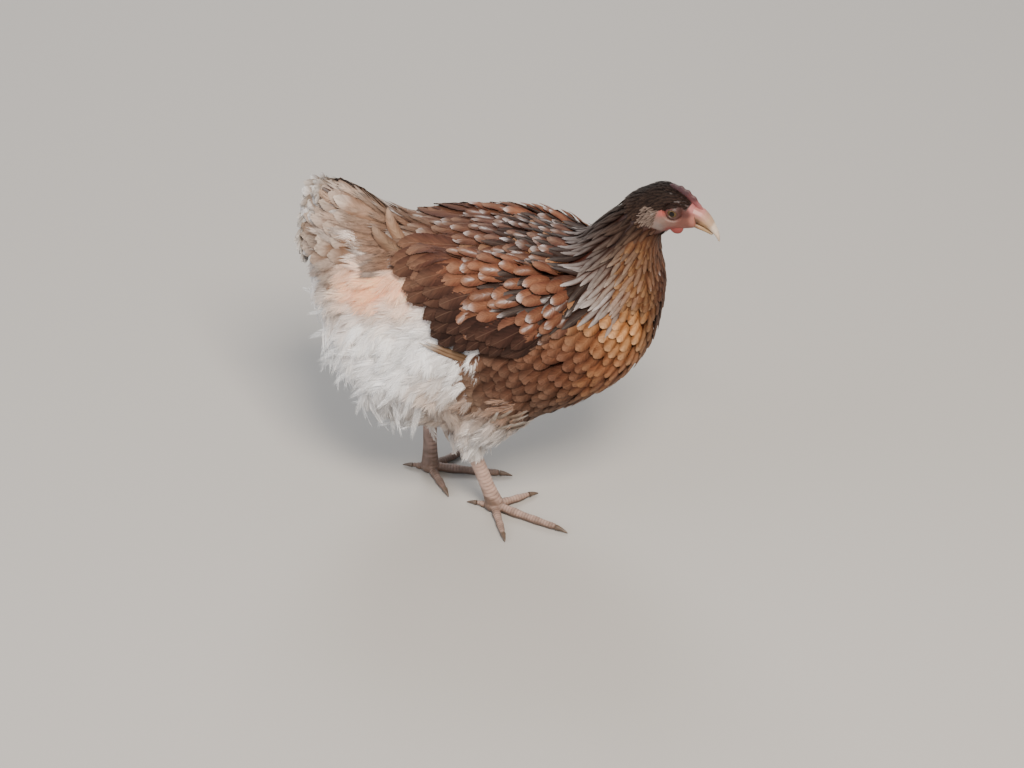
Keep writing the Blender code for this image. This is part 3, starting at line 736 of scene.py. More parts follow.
# --- saddle and side feathers -----------------------------
# Long soft feathers from the rump over the root of the tail and down beside it, tan above and peach at
# the sides. Their barbs hang loose, so their ends are ragged.
SADDLE = [
    (-60, 0, 252, "54382B", "6D5343", "857266", 40, 6.0, 0.1),
    (-60, 34, 244, "4B2E21", "644436", "7F6A5C", 40, 6.5, 0.2),
    (-88, 0, 255, "6D5343", "856F60", "A69D94", 44, 6.5, 0.3),
    (-110, 0, 262, "B09A8A", "C8B6A8", "E2D8D0", 44, 6.5, 0.2),
    (-112, 12, 261, "9A6A4C", "B48664", "C49E7E", 44, 7.0, 0.0),
    (-98, 20, 253, "7A543C", "8E6A4F", "9B7D64", 40, 7.0, 0.0),
    (-84, 28, 246, "7A543C", "8C664C", "947359", 36, 7.0, 0.0),
    (-76, 36, 242, "6F4C39", "83624C", "967D6A", 36, 7.0, 0.1),
    (-80, 14, 252, "593828", "6D4C39", "8E7A6C", 40, 7.0, 0.2),
    (-108, 30, 246, "DCD0C6", "F4EEEA", "FCFAF8", 34, 7.5, 0.0),
    (-96, 36, 241, "B5ABA5", "C4C0BC", "CACACA", 34, 7.5, 0.0),
    (-124, 16, 266, "94765E", "B69A84", "DCD0C6", 46, 7.5, 0.0),
    (-122, 32, 236, "8E6C54", "AC8C74", "CCB8A6", 44, 7.5, 0.0),
    (-126, 36, 216, "9A8070", "BCA898", "E0D6CE", 40, 7.5, 0.0),
]


def plume(barbs, width, angles=(40, 10)):
    """A feather's form like a vane's, but with each barb a separate thread that bends to the tip."""
    points, faces = [], []
    for side in (-1, 1):
        for k in range(barbs):
            v = (k + 0.5) / barbs
            angle = math.radians(angles[0] + (angles[1] - angles[0]) * v)
            reach = 0.55 + 0.6 * math.sin(math.pi * (0.15 + 0.7 * v)) * (1 + 0.15 * math.sin(k * 2.4))
            first = len(points)
            points += [
                (v - width, side, 0.0, angle, reach),
                (v + width, side, 0.0, angle, reach),
                (v - width * 1.1, side, 0.55, angle * 0.95, reach),
                (v + width * 1.1, side, 0.55, angle * 0.9, reach),
                (v, side, 1.0, angle * 0.75, reach),
            ]
            faces += [[first + corner for corner in face] for face in ((0, 1, 3), (0, 3, 2), (2, 3, 4))]
    return np.array(points), np.array(faces), 0.9


def on_saddle(p):
    """1 on the rump and the root of the tail."""
    return on_back(p) * ramp(p[:, 0] / MM, -50, -62) * ramp(p[:, 0] / MM, -126, -118)


SOFT_FORM = plume(20, 0.026)
saddle = lay(
    "saddle_feathers", SADDLE, scatter(7, 6.2 * MM, on_saddle), SOFT_FORM,
    depth=1.5, rim=1.0, stripe=0.9, free=0.7, swirl=0.12, root=0.85,
)
dress(saddle, vane_finish)

# --- wings ------------------------------------------------
# Folded against the body. Small coverts cover the shoulder, broader ones the middle, and rows of large
# firm quills with rounded ends close the rear and lower edges.
COVERTS = [
    (48, 56, 228, "673B2A", "7D523C", "8D6751", 22, 4.8, 0.6),
    (30, 68, 212, "4B2A20", "5F3B2D", "704C3D", 24, 5.4, 0.04),
    (20, 60, 236, "693D2A", "82553D", "946C57", 25, 5.0, 0.75),
    (-10, 62, 236, "673B29", "7F533C", "936E58", 28, 5.6, 0.6),
    (0, 74, 214, "563526", "6E4935", "7C5846", 29, 6.2, 0.12),
    (0, 78, 194, "261612", "311E18", "3C2822", 29, 6.4, 0.02),
    (-30, 72, 208, "543326", "6A4434", "795847", 31, 6.8, 0.12),
    (-30, 70, 194, "291915", "36221C", "432E28", 30, 6.6, 0.04),
    (-40, 58, 234, "653C2B", "7E533D", "8F6A54", 31, 6.6, 0.28),
]
# Quill rows: the first and last tip (x, z), count, length, half width, and how high they stand.
QUILLS = [
    ((-84, 238), (-44, 191), 9, 62, 9.0, 1.84),
    ((-42, 190), (14, 185), 9, 48, 7.0, 1.68),
    ((-77, 238), (-54, 209), 6, 50, 8.4, 1.95),
    ((-64, 234), (-38, 207), 5, 44, 8.0, 2.05),
    ((-36, 199), (14, 196), 8, 40, 7.0, 1.88),
]
QUILL_TONES = [
    (-64, 58, 236, "643D31", "79503D", "8A6751", 0.08),
    (-50, 64, 214, "553326", "6C4633", "825E4A", 0.08),
    (-30, 70, 198, "2D1C15", "3C261D", "4E382F", 0.08),
    (0, 74, 196, "211410", "2A1B16", "372720", 0.03),
    (20, 70, 205, "321F19", "402821", "4D352B", 0.03),
]


def rooted(side, places, seed, back=0):
    """Feather roots on one side at the given places (x, z), or as far back from them as is given."""
    hits = [hide_tree.ray_cast((x * MM, side, z * MM), (0, -side, 0)) for x, z in places]
    points = np.array([hit[0] for hit in hits])
    if back:
        points = paths(points, np.full(len(points), -back * MM), 0)[0][:, -1]
    faces = [hide_tree.find_nearest(p)[2] for p in points.tolist()]
    return points, hide_patch[faces].mean(1), np.random.default_rng(seed)


def in_row(first, last, count):
    """Evenly spaced places from first to last."""
    return [[a + (b - a) * k / (count - 1) for a, b in zip(first, last)] for k in range(count)]


QUILL_ANGLES = (38, 40, 42, 44, 46, 47, 46, 32, 0)
QUILL_REACH = (0.5, 0.75, 0.9, 0.95, 0.97, 0.95, 0.88, 0.84, 0.72)
QUILL_FORM = vane(30, QUILL_ANGLES, QUILL_REACH)
for side, end in ((-1, "right"), (1, "left")):
    for number, (first, last, count, length, half, high) in enumerate(QUILLS):
        quills = lay(
            f"quills_{number}_{end}",
            [(*tone[:6], length, half, tone[6]) for tone in QUILL_TONES],
            rooted(side, in_row(first, last, count), 20 + number, length),
            QUILL_FORM,
            depth=high, rim=0.8, stripe=0.6, loose=0.03, swirl=0,
        )
        dress(quills, vane_finish)
    roots = scatter(31 + side, 6.5 * MM, lambda p: on_wing(p) * on_wing(tip(p, 50)) * (p[:, 1] * side > 0))
    coverts = lay(
        f"coverts_{end}", COVERTS, roots, ROUND_FORM,
        depth=1.66, cup=0.06, rim=0.95, stripe=0.8, loose=0.1, root=0.85,
    )
    dress(coverts, vane_finish)

# --- mantle -----------------------------------------------
# Long feathers that fan back from the foot of the neck over the shoulders: a silvery or white streak
# down the middle of each, between chestnut edges.
MANTLE = [
    (48, 0, 258, "291711", "352C29", "4E4947", 34, 3.8, 0.3),
    (44, 24, 255, "2B1911", "382E2A", "56514E", 34, 4.0, 0.35),
    (44, 44, 242, "2C1911", "403734", "625C5B", 34, 4.2, 0.45),
    (50, 56, 226, "2E1A11", "423834", "625B57", 32, 4.4, 0.45),
    (24, 0, 258, "2E1A11", "35251E", "473732", 30, 4.2, 0.35),
    (20, 36, 250, "2E1A11", "37251D", "4B3B34", 30, 4.6, 0.5),
]


def on_mantle(p):
    """1 behind and under the cape, over the back and shoulders."""
    x, y, z = (p / MM).T
    return (1 - on_neck(tip(p, 34))) * ramp(x, 12, 30) * ramp(84 - x, 0, 6) * ramp(z, 216, 222)


HACKLE_FORM = vane(16, (30, 31, 31, 30, 28, 24, 14, 0), (0.6, 1.0, 1.2, 1.25, 1.25, 1.2, 1.2, 1.3))
mantle = lay(
    "mantle", MANTLE, scatter(43, 6.4 * MM, on_mantle), HACKLE_FORM,
    depth=1.2, cup=0.2, rim=0.75, stripe=0.6, fringe=0.0, loose=0.12,
)
dress(mantle, vane_finish)

# --- neck hackles -----------------------------------------
# Long, narrow, pointed feathers that hang down the neck as a cape: silvery in the middle with dark
# brown edges, white towards the tips. In front they shorten to a small orange throat.
HACKLES = [
    (112, 12, 308, "251712", "2E221B", "382B26", 14, 2.0, 0),
    (98, 0, 303, "1B110C", "221712", "2B221D", 20, 2.3, 0),
    (100, 22, 284, "23150E", "2E1E16", "3D2D23", 23, 2.5, 0),
    (78, 0, 282, "221510", "352B26", "504846", 31, 2.8, 0),
    (84, 28, 268, "37211A", "655C58", "837B79", 35, 2.9, 0),
    (64, 34, 256, "44281F", "8A8280", "B4B0B0", 38, 3.1, 0),
    (56, 0, 262, "3D251D", "746D6B", "9B9597", 36, 3.0, 0),
    (76, 44, 240, "482A1F", "989290", "C6C2C2", 41, 3.2, 0),
    (96, 40, 246, "4E2C20", "908680", "C4BCB8", 38, 3.1, 0),
    (108, 30, 262, "563423", "837263", "A29384", 29, 3.0, 0),
    (118, 22, 262, "653D25", "886042", "9B795C", 20, 3.0, 0),
    # The darker rows at the front of the neck are painted shade, where it turns away from the light.
    (123, 8, 262, "442518", "583525", "674434", 17, 3.0, 0),
    (124, 10, 244, "54301F", "704630", "84604A", 18, 3.6, 0),
    (120, 26, 244, "6E4228", "966A4A", "B0907A", 21, 3.4, 0.1),
]


def on_hackles(p):
    """1 on the neck behind the bare face, as far down as the tips still end inside the cape."""
    x, y, z = (p / MM).T
    above = on_neck(tip(p, 17 + 0.6 * np.clip(108 - x, 0, 36)[:, None]))
    behind_face = np.clip(ramp(x, 122, 117) + ramp(z, 276, 272), 0, 1)
    return above * (1 - bare(p)) * behind_face * ramp(z, 316, 310)


hackles = lay(
    "hackles", HACKLES, scatter(41, 4.6 * MM, on_hackles), HACKLE_FORM,
    depth=1.15, cup=0.3, rim=0.6, stripe=0.75, fringe=0.0,
)
dress(hackles, vane_finish)

# --- throat -----------------------------------------------
# Short close feathers under the chin and down the front of the neck, orange at the sides and chestnut down
# the front, where painted shade darkens it.
THROAT = [
    # The two dark rows down the front are painted shade, where the neck turns away from the light.
    (123, 8, 264, "3A1F16", "4D2D1E", "5E3C2D", 12, 2.6, 0),
    (125, 6, 240, "3E2015", "512E1E", "623E2C", 15, 3.2, 0),
    (114, 24, 262, "5E3822", "7E593A", "937352", 14, 2.8, 0),
    (112, 32, 240, "674026", "8B6342", "A17E5E", 17, 3.3, 0),
]


def on_throat(p):
    """1 on the front and sides of the neck below the bare chin."""
    x, y, z = (p / MM).T
    return ramp(x, 98, 104) * ramp(z, 222, 230) * (1 - bare(tip(p, 3))) * (z < 276)


THROAT_FORM = vane(12, ROUND_ANGLES, ROUND_REACH)
throat = lay("throat_feathers", THROAT, scatter(45, 3.8 * MM, on_throat), THROAT_FORM, depth=0.9)
dress(throat, vane_finish)

# --- head feathers ----------------------------------------
# Very small, close feathers on the crown, the nape and the edges of the bare face, nearly black above
# and brown on the cheeks, and short pale bristles over the ears.
SMALL = [
    (129, 0, 316, "130C09", "1A130F", "1F1714", 6.5, 1.4, 0),
    (146, 6, 305, "1A0F0D", "221510", "291B17", 4.5, 1.1, 0),
    (112, 0, 312, "140E0B", "1B1410", "221B17", 9, 1.6, 0),
    (118, 12, 306, "1A100D", "231813", "2A1F1A", 7, 1.4, 0),
    (108, 18, 294, "1F140F", "2A1C16", "34251D", 9, 1.6, 0),
    (112, 16, 280, "4A2F24", "644636", "765A46", 9, 1.7, 0),
    (126, 8, 274, "523830", "6E5246", "7E6458", 6, 1.4, 0),
    (142, 11, 299, "23130F", "2D1A14", "321E19", 4.5, 1.1, 0),
]


def on_head(p):
    """1 on the feathered parts of the head and the upper neck."""
    x, y, z = (p / MM).T
    feathered_skin = (1 - bare(tip(p, 1.5))) * (1 - bare(p))
    return feathered_skin * ramp(0.75 * x + z, 371, 374) * ramp(17 - head_place(p)[:, 0], 0, 2)


HEAD_FORM = vane(6, ROUND_ANGLES, ROUND_REACH)
small = lay("head_feathers", SMALL, scatter(51, 1.9 * MM, on_head), HEAD_FORM, depth=1.1)
dress(small, vane_finish)

BRISTLES = [(118, 16, 288, "62524A", "74645B", "85756B", 6.0, 0.55, 0)]


def on_ear(p):
    """1 over the ears and the lobes below them."""
    forward, out, up = head_place(p).T
    return (np.abs(forward + 16) < 5) * (np.abs(up + 8) < 6.5) * (np.abs(out) > 8)


ear_roots = scatter(53, 1.25 * MM, on_ear)
bristles = lay("ear_feathers", BRISTLES, ear_roots, HEAD_FORM, depth=1.5, loose=0.2, swirl=0.2)
dress(bristles, vane_finish)

# --- tail -------------------------------------------------
# A short soft fan held nearly level: broad tan and brown feathers with loose white ends. Rows of firmer
# ones lie on both sides, and pale ones close its top and its rear edge.
TAIL = [
    (-110, 0, 268, "866858", "A88E7C", "E2D8D0", 46, 7.0, 0),
    (-112, 16, 258, "705038", "92705A", "C4AC9A", 46, 7.6, 0),
    (-114, 28, 240, "6A4A36", "8A6850", "C4AC98", 46, 8.0, 0),
    (-118, 34, 224, "745440", "987660", "DACCC0", 46, 8.0, 0),
    (-134, 24, 262, "7C5C46", "A08068", "DCCCC0", 44, 7.2, 0),
    (-128, 28, 244, "705038", "92705A", "D4C0B0", 44, 7.2, 0),
    (-142, 26, 234, "C8B7A8", "F5EBE3", "FFFFFF", 44, 7.2, 0),
    (-144, 22, 262, "BBA898", "E5D4C8", "FFFFFF", 44, 7.2, 0),
]
REAR_Z = (80, 100, 120, 140, 160, 180, 200, 220, 240, 260, 280)
REAR_X = (-92, -119, -134, -144, -151, -157, -164, -168, -166, -161, -157)


def on_tail(p):
    """1 where tail feathers root, so that their tips end at the tail's rear edge."""
    x, y, z = (p / MM).T
    end = tip(p, 46) / MM
    inside = ramp(end[:, 0] - np.interp(end[:, 2], REAR_Z, REAR_X), -4, 0)
    return inside * (1 - fluffy(p)) * ramp(-x, 98, 102) * ramp(z, 212, 218)


tail = lay(
    "tail_coverts", TAIL, scatter(61, 5.6 * MM, on_tail), SOFT_FORM,
    rim=1.0, stripe=0.9, free=0.7, tip_from=0.5, root=0.9,
)
dress(tail, vane_finish)

# The fan's rows are given as the wing's are; each feather stands out past its row by the overhang.
TAIL_ROWS = [
    ((-150, 272), (-158, 214), 9, 50, 8.5, 0.9),
    ((-140, 272), (-148, 222), 7, 48, 8.5, 1.15),
    ((-129, 268), (-136, 230), 5, 44, 8.0, 1.35),
]
OVERHANG = 9
TAIL_ANGLES = (34, 36, 38, 40, 42, 42, 40, 28, 0)
TAIL_REACH = (0.5, 0.75, 0.9, 0.95, 0.97, 0.95, 0.92, 0.9, 0.8)
TAIL_FORM = vane(28, TAIL_ANGLES, TAIL_REACH)
for side, end in ((-1, "right"), (1, "left")):
    for number, (first, last, count, length, half, high) in enumerate(TAIL_ROWS):
        fan = lay(
            f"tail_fan_{number}_{end}",
            [(*tone[:6], length + OVERHANG, half, 0) for tone in TAIL],
            rooted(side, in_row(first, last, count), 64 + number, length),
            TAIL_FORM,
            depth=high, rim=1.0, stripe=0.9, fringe=1.0, loose=0.04, free=0.8, swirl=0.05, root=0.9,
            tip_from=0.72,
        )
        dress(fan, vane_finish)

RIDGE = [
    (-104, 0, 262, "94796A", "B8A090", "DCD2CA", 36, 6.0, 0.1),
    (-136, 0, 278, "C0B0A2", "DCD0C6", "F6F2EE", 42, 6.5, 0),
]
SEAM = [
    (-150, 0, 268, "A08C7C", "CCB8A8", "F6F2EE", 26, 6.0, 0),
    (-156, 0, 232, "A89484", "D4C6BA", "FAF8F6", 28, 6.0, 0),
]


def on_ridge(p):
    """1 along the top of the fan."""
    x, y, z = (p / MM).T
    return (np.abs(y) < 12) * (np.abs(x + 120) < 24) * (z > 254)


def on_seam(p):
    """1 between the fan's two sides at the rear."""
    x, y, z = (p / MM).T
    return (np.abs(y) < 14) * (x < -132) * (z > 224)


CLOSING = {"rim": 1.0, "stripe": 0.9, "fringe": 1.0, "root": 0.95}
ridge = lay("tail_ridge", RIDGE, scatter(69, 4.8 * MM, on_ridge), TAIL_FORM, depth=1.15, **CLOSING)
dress(ridge, vane_finish)
seam = lay("tail_seam", SEAM, scatter(67, 4.5 * MM, on_seam), TAIL_FORM, depth=1.1, free=0.6, **CLOSING)
dress(seam, vane_finish)

# --- fluff ------------------------------------------------
# Loose white down-like plumes over the vent, the rear of the belly and the thighs. Their barbs do not
# hook together, so each is a spray of separate soft threads.
FLUFF = [
    (-104, 46, 226, "EC9C62", "FFC08C", "FFDCBA", 28, 7.5, 0),
    (-88, 52, 220, "EC9C62", "FFC08C", "FFDCBA", 28, 7.5, 0),
    (-76, 60, 208, "DEC0AA", "F0DCCC", "FAF0E8", 30, 7.5, 0),
    (-100, 40, 240, "E4DAD2", "F8F4F0", "FFFFFF", 30, 7.5, 0),
    (-130, 40, 206, "B4A090", "D4C6BA", "F0E8E2", 34, 7.5, 0),
    (-62, 70, 192, "ECEAE9", "FCFBFB", "FFFFFF", 30, 7.5, 0),
    (-90, 55, 190, "E6E4E2", "F8F7F6", "FFFFFF", 32, 8.0, 0),
    (-140, 20, 190, "D8D5D3", "EEECEB", "F8F7F6", 32, 8.0, 0),
    (-120, 45, 150, "DEDCDA", "F4F3F2", "FCFBFB", 34, 8.5, 0),
    (-70, 68, 160, "ECEAE9", "FCFBFB", "FFFFFF", 34, 8.5, 0),
    (-56, 74, 172, "ECEAE9", "FCFBFB", "FFFFFF", 34, 8.0, 0),
    (-24, 76, 164, "E0DDDB", "F6F4F3", "FCFBFA", 30, 7.0, 0),
    (-43, 76, 148, "C0A896", "DCC8B8", "EEE2D8", 30, 7.0, 0),
    # These two greyer rows low on the belly are painted shade.
    (-66, 60, 118, "A39E9B", "B6B2AF", "BFBEBB", 34, 8.0, 0),
    (-100, 20, 100, "918B84", "A7A19C", "B6B2AE", 34, 8.0, 0),
    (22, 62, 132, "785642", "98745C", "B49680", 28, 6.0, 0),
    (-6, 70, 132, "80604A", "A08068", "BCA28E", 30, 6.5, 0),
    (-34, 72, 118, "92796A", "B29C8C", "CCBCB0", 30, 6.5, 0),
    (-38, 56, 98, "8E7668", "AE9888", "C6B6AA", 26, 6.0, 0),
    (4, 58, 110, "BCB0A8", "DED6D0", "F2EEEB", 28, 6.0, 0),
    (-8, 46, 88, "C8C0BA", "E6E2DE", "F6F4F2", 26, 5.6, 0),
    (-24, 40, 74, "B8AEA6", "D8D2CC", "ECE9E6", 18, 4.6, 0),
    # This greyer row, round the left hock, is painted shade.
    (-74, 40, 74, "8D847F", "A59F9B", "B4B2AE", 18, 4.6, 0),
]


# Down: unhooked barbs full of air, so it is dull and soft and glows where light passes through it.
down_finish, tree, out = new_material("down")
tint = add(tree, "ShaderNodeAttribute", attribute_name="tint")
surface = add(
    tree,
    "ShaderNodeBsdfPrincipled",
    {
        "Base Color": tint.outputs["Color"],
        "Roughness": 0.9,
        "Specular IOR Level": 0.15,
        "Sheen Weight": 0.5,
        "Sheen Roughness": 0.6,
    },
)
through = add(tree, "ShaderNodeBsdfTranslucent", {"Color": tint.outputs["Color"]})
soft = add(tree, "ShaderNodeMixShader", {0: 0.3, 1: surface.outputs["BSDF"], 2: through.outputs["BSDF"]})
tree.links.new(soft.outputs["Shader"], out.inputs["Surface"])

UNDER_WING = np.array([-9, 0, -9]) * MM  # from the fluff's last roots to the edge of the wing over them


def on_fluff(p):
    """1 where fluff roots: where it shows, and a little way in under the wing's rear edge."""
    behind = p + UNDER_WING
    hidden = fluffy(behind) * (1 - on_wing(behind)) * on_wing(p)
    return np.maximum(fluffy(p) * (1 - on_wing(p)), hidden)


PLUME_FORM = plume(20, 0.015)
# Its patchy share paints soft shade in broad patches over the white down.
FLUFFY = {"rim": 1.0, "stripe": 1.2, "ruffle": 0.06, "swirl": 0.5, "puff": 0.8, "root": 0.95, "patchy": 0.16}
FLUFF_PARTS = (  # name, side, and from x to x in millimetres
    ("thigh_right", -1, 100, -75),
    ("vent_right", -1, -75, -200),
    ("thigh_left", 1, 100, -75),
    ("vent_left", 1, -75, -200),
)
for seed, (where, side, front_x, rear_x) in enumerate(FLUFF_PARTS, 70):
    roots = scatter(
        seed,
        4.1 * MM,
        lambda p: on_fluff(p) * (p[:, 1] * side > 0) * (p[:, 0] < front_x * MM) * (p[:, 0] >= rear_x * MM),
    )
    fluff = lay(f"fluff_{where}", FLUFF, roots, PLUME_FORM, loose=0.16, free=0.5, **FLUFFY)
    dress(fluff, down_finish)

WISPS = [
    (-130, 40, 150, "E2E0DE", "F6F5F4", "FFFFFF", 50, 6.5, 0),
    (-70, 66, 150, "ECEAE8", "FAF9F8", "FFFFFF", 42, 6.5, 0),
    (-60, 40, 100, "DCD8D4", "F0EEEC", "FAF9F8", 42, 6.5, 0),
]


def on_wisps(p):
    """1 on the lower rear of the fluff, where longer wisps stand out of it."""
    return fluffy(p) * ramp(196 - p[:, 2] / MM, 0, 10) * ramp(-45 - p[:, 0] / MM, 0, 10)


WISP_FORM = plume(15, 0.013, (30, 6))
wisps = lay(
    "fluff_wisps", WISPS, scatter(77, 9 * MM, on_wisps), WISP_FORM, depth=1.3, loose=0.25, free=0.2, **FLUFFY
)
dress(wisps, down_finish)

# --- cuffs and loose feathers round the legs --------------
# White-grey plumes hang over the top of each shank. In front of the thigh a few longer cream and brown
# feathers stick out forward, and the tips of two flight feathers show under the wing's rear. On the right
# two more long feathers of the wing lie askew over the root of the tail.
CUFF = [
    (20, 56, 112, "A89484", "CEC2B8", "E8E2DC", 28, 6.0, 0),
    (4, 50, 104, "C0B6AE", "E2DCD8", "F6F3F1", 30, 6.0, 0),
    (-20, 44, 92, "BCB2AA", "DCD6D1", "F0EDEA", 26, 5.5, 0),
]
CUFF_BOX = (-24, 26, 80, 108)  # where they root: from x to x, and from z to z
SPRAY = [
    (6, 58, 114, "846448", "AC9078", "D8CABC", 38, 3.8, 0),
    (0, 50, 102, "B4A290", "D8CABC", "F4F0EC", 40, 3.8, 0),
]
SPRAY_BOX = (-8, 10, 98, 116)
FLIGHT = [(-30, 74, 176, "6E523A", "96785E", "D4CAC0", 46, 2.8, 0)]
FLIGHT_PLACES = ((-8, 170), (-11, 175))
FLIGHT_TURN = 1.12  # away from the lie of the plumage, in radians, as all these turns
ASKEW = [(-90, 24, 250, "7A5A46", "94765F", "A88C78", 58, 5.0, 0)]
ASKEW_PLACES = ((-64, 240), (-62, 236))
ASKEW_TURN = 0.85
FORWARD = math.pi


def in_box(p, box, side=0):
    """1 inside a box of x and z, away from the bird's middle, on one side or on both."""
    x, y, z = (p / MM).T
    x0, x1, z0, z1 = box
    inside = ramp(x, x0, x0 + 4) * ramp(x1 - x, 0, 4) * ramp(z, z0, z0 + 4) * ramp(z1 - z, 0, 4)
    return inside * (np.abs(y) > 30) * (y * side >= 0)


cuff_roots = scatter(81, 5.0 * MM, lambda p: in_box(p, CUFF_BOX))
cuffs = lay(
    "cuff_plumes", CUFF, cuff_roots, SOFT_FORM,
    depth=1.1, rim=1.0, free=0.2, loose=0.15, swirl=0.3, ruffle=0.05, root=0.9,
)
dress(cuffs, down_finish)
for side, end in ((-1, "right"), (1, "left")):
    spray_roots = scatter(83 + side, 4.2 * MM, lambda p: in_box(p, SPRAY_BOX, side))
    spray = lay(
        f"thigh_spray_{end}", SPRAY, spray_roots, SOFT_FORM, depth=1.3, free=0.1, loose=0.14, turn=FORWARD
    )
    dress(spray, vane_finish)
    flight = lay(
        f"flight_tips_{end}", FLIGHT, rooted(side, FLIGHT_PLACES, 86 + side), HACKLE_FORM,
        depth=1.55, cup=0.05, rim=0.85, turn=FLIGHT_TURN * side, loose=0.02,
    )
    dress(flight, vane_finish)

askew = lay(
    "askew_wing_tips", ASKEW, rooted(-1, ASKEW_PLACES, 88), QUILL_FORM,
    depth=1.85, cup=0.08, turn=-ASKEW_TURN, loose=0.03,
)
dress(askew, vane_finish)

# --- eyes -------------------------------------------------
# Wet balls with an olive-brown iris and a round black pupil, held between the dark moist rims of the lids.
PUPIL = 2.1 * MM
IRIS = 4.0 * MM
RIM = 0.36 * MM  # half the thickness of a lid's rim
RIM_OUT = 0.3 * MM  # how far its middle stands off the ball
RIM_STEPS, RIM_SIDES = 56, 8
# Cornea over iris: a clear wet coat gives one sharp highlight, over streaks that run out from the pupil.
eye_finish, tree, out = new_material("eye")
off_axis = add(tree, "ShaderNodeAttribute", attribute_name="off_axis").outputs["Fac"]
around = add(tree, "ShaderNodeAttribute", attribute_name="around").outputs["Vector"]
streaks = add(tree, "ShaderNodeTexNoise", {"Vector": around, "Scale": 9, "Detail": 4, "Roughness": 0.7})
iris = add(tree, "ShaderNodeValToRGB", {"Fac": streaks.outputs["Fac"]})
iris.color_ramp.elements[0].position = 0.3
iris.color_ramp.elements[0].color = (*linear("241A0E"), 1)
iris.color_ramp.elements[1].position = 0.7
iris.color_ramp.elements[1].color = (*linear("66502E"), 1)
edge = {"Value": off_axis, "From Min": PUPIL * 0.94, "From Max": PUPIL * 1.06, "To Min": 1.0, "To Max": 0.0}
in_pupil = add(tree, "ShaderNodeMapRange", edge).outputs["Result"]
edge = {"Value": off_axis, "From Min": IRIS * 0.8, "From Max": IRIS}
past_iris = add(tree, "ShaderNodeMapRange", edge).outputs["Result"]
rimmed = {"Factor": past_iris, 6: iris.outputs["Color"], 7: (*linear("1E140E"), 1)}
rimmed = add(tree, "ShaderNodeMix", rimmed, data_type="RGBA")
whole = {"Factor": in_pupil, 6: rimmed.outputs[2], 7: (*linear("050404"), 1)}
whole = add(tree, "ShaderNodeMix", whole, data_type="RGBA")
surface = add(
    tree,
    "ShaderNodeBsdfPrincipled",
    {
        "Base Color": whole.outputs[2],
        "Roughness": 0.4,
        "Specular IOR Level": 0.0,
        "Coat Weight": 1.0,
        "Coat Roughness": 0.03,
        "Coat IOR": 1.38,
    },
)
tree.links.new(surface.outputs["BSDF"], out.inputs["Surface"])


def plain_finish(name, colour, roughness):
    """A material of one colour."""
    made, tree, out = new_material(name)
    sockets = {"Base Color": (*linear(colour), 1), "Roughness": roughness}
    surface = add(tree, "ShaderNodeBsdfPrincipled", sockets)
    tree.links.new(surface.outputs["BSDF"], out.inputs["Surface"])
    return made


# Lid margin: dark bare skin that tears keep moist, so it catches a small soft shine.
lid_finish = plain_finish("moist lid margin", "3A2620", 0.35)
for word, (centre, gaze) in EYES.items():
    bm = bmesh.new()
    bmesh.ops.create_uvsphere(bm, u_segments=64, v_segments=40, radius=EYEBALL)
    mesh = bpy.data.meshes.new(f"eyeball_{word}")
    bm.to_mesh(mesh)
    bm.free()
    mesh.transform(Vector((0, 0, 1)).rotation_difference(Vector(gaze)).to_matrix().to_4x4())
    mesh.transform(Matrix.Translation(centre))
    mesh.shade_smooth()
    apart = read_out(mesh.vertices, "co", 3) - centre
    sideways = apart - (apart @ gaze)[:, None] * gaze
    distance = np.where(apart @ gaze > 0, np.linalg.norm(sideways, axis=1), 1)
    mesh.attributes.new("off_axis", "FLOAT", "POINT").data.foreach_set("value", distance)
    unit = sideways / np.maximum(np.linalg.norm(sideways, axis=1, keepdims=True), 1e-9)
    mesh.attributes.new("around", "FLOAT_VECTOR", "POINT").data.foreach_set("vector", unit.ravel())
    mesh.materials.append(eye_finish)
    eyeball = bpy.data.objects.new(f"eyeball_{word}", mesh)
    bpy.context.scene.collection.objects.link(eyeball)
    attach(eyeball, "root")
    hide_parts(f"eye_{word}")

    turns = np.linspace(0, 2 * math.pi, RIM_STEPS, endpoint=False)
    forward, up = EYE_OPENING[0] * np.cos(turns) * MM, EYE_OPENING[1] * np.sin(turns) * MM
    rise = np.sqrt((EYEBALL + RIM_OUT) ** 2 - forward**2 - up**2)
    ring = centre + forward[:, None] * head_axes[0] + up[:, None] * head_axes[2] + rise[:, None] * gaze
    outward = ring - centre
    outward /= np.linalg.norm(outward, axis=1, keepdims=True)
    ahead = np.roll(ring, -1, 0) - np.roll(ring, 1, 0)
    sideways = np.cross(outward, ahead)
    sideways /= np.linalg.norm(sideways, axis=1, keepdims=True)
    sides = np.linspace(0, 2 * math.pi, RIM_SIDES, endpoint=False)[None, :, None]
    tube = ring[:, None] + RIM * (outward[:, None] * np.cos(sides) + sideways[:, None] * np.sin(sides))
    number = np.arange(RIM_STEPS * RIM_SIDES).reshape(RIM_STEPS, RIM_SIDES)
    after, beside = np.roll(number, -1, 0), np.roll(number, -1, 1)
    quads = np.stack([number, beside, np.roll(after, -1, 1), after], 2).reshape(-1, 4).tolist()
    mesh = bpy.data.meshes.new(f"lid_rim_{word}")
    mesh.from_pydata(tube.reshape(-1, 3).tolist(), [], quads)
    mesh.shade_smooth()
    mesh.materials.append(lid_finish)
    lid_rim = bpy.data.objects.new(f"lid_rim_{word}", mesh)
    bpy.context.scene.collection.objects.link(lid_rim)
    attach(lid_rim, "root")

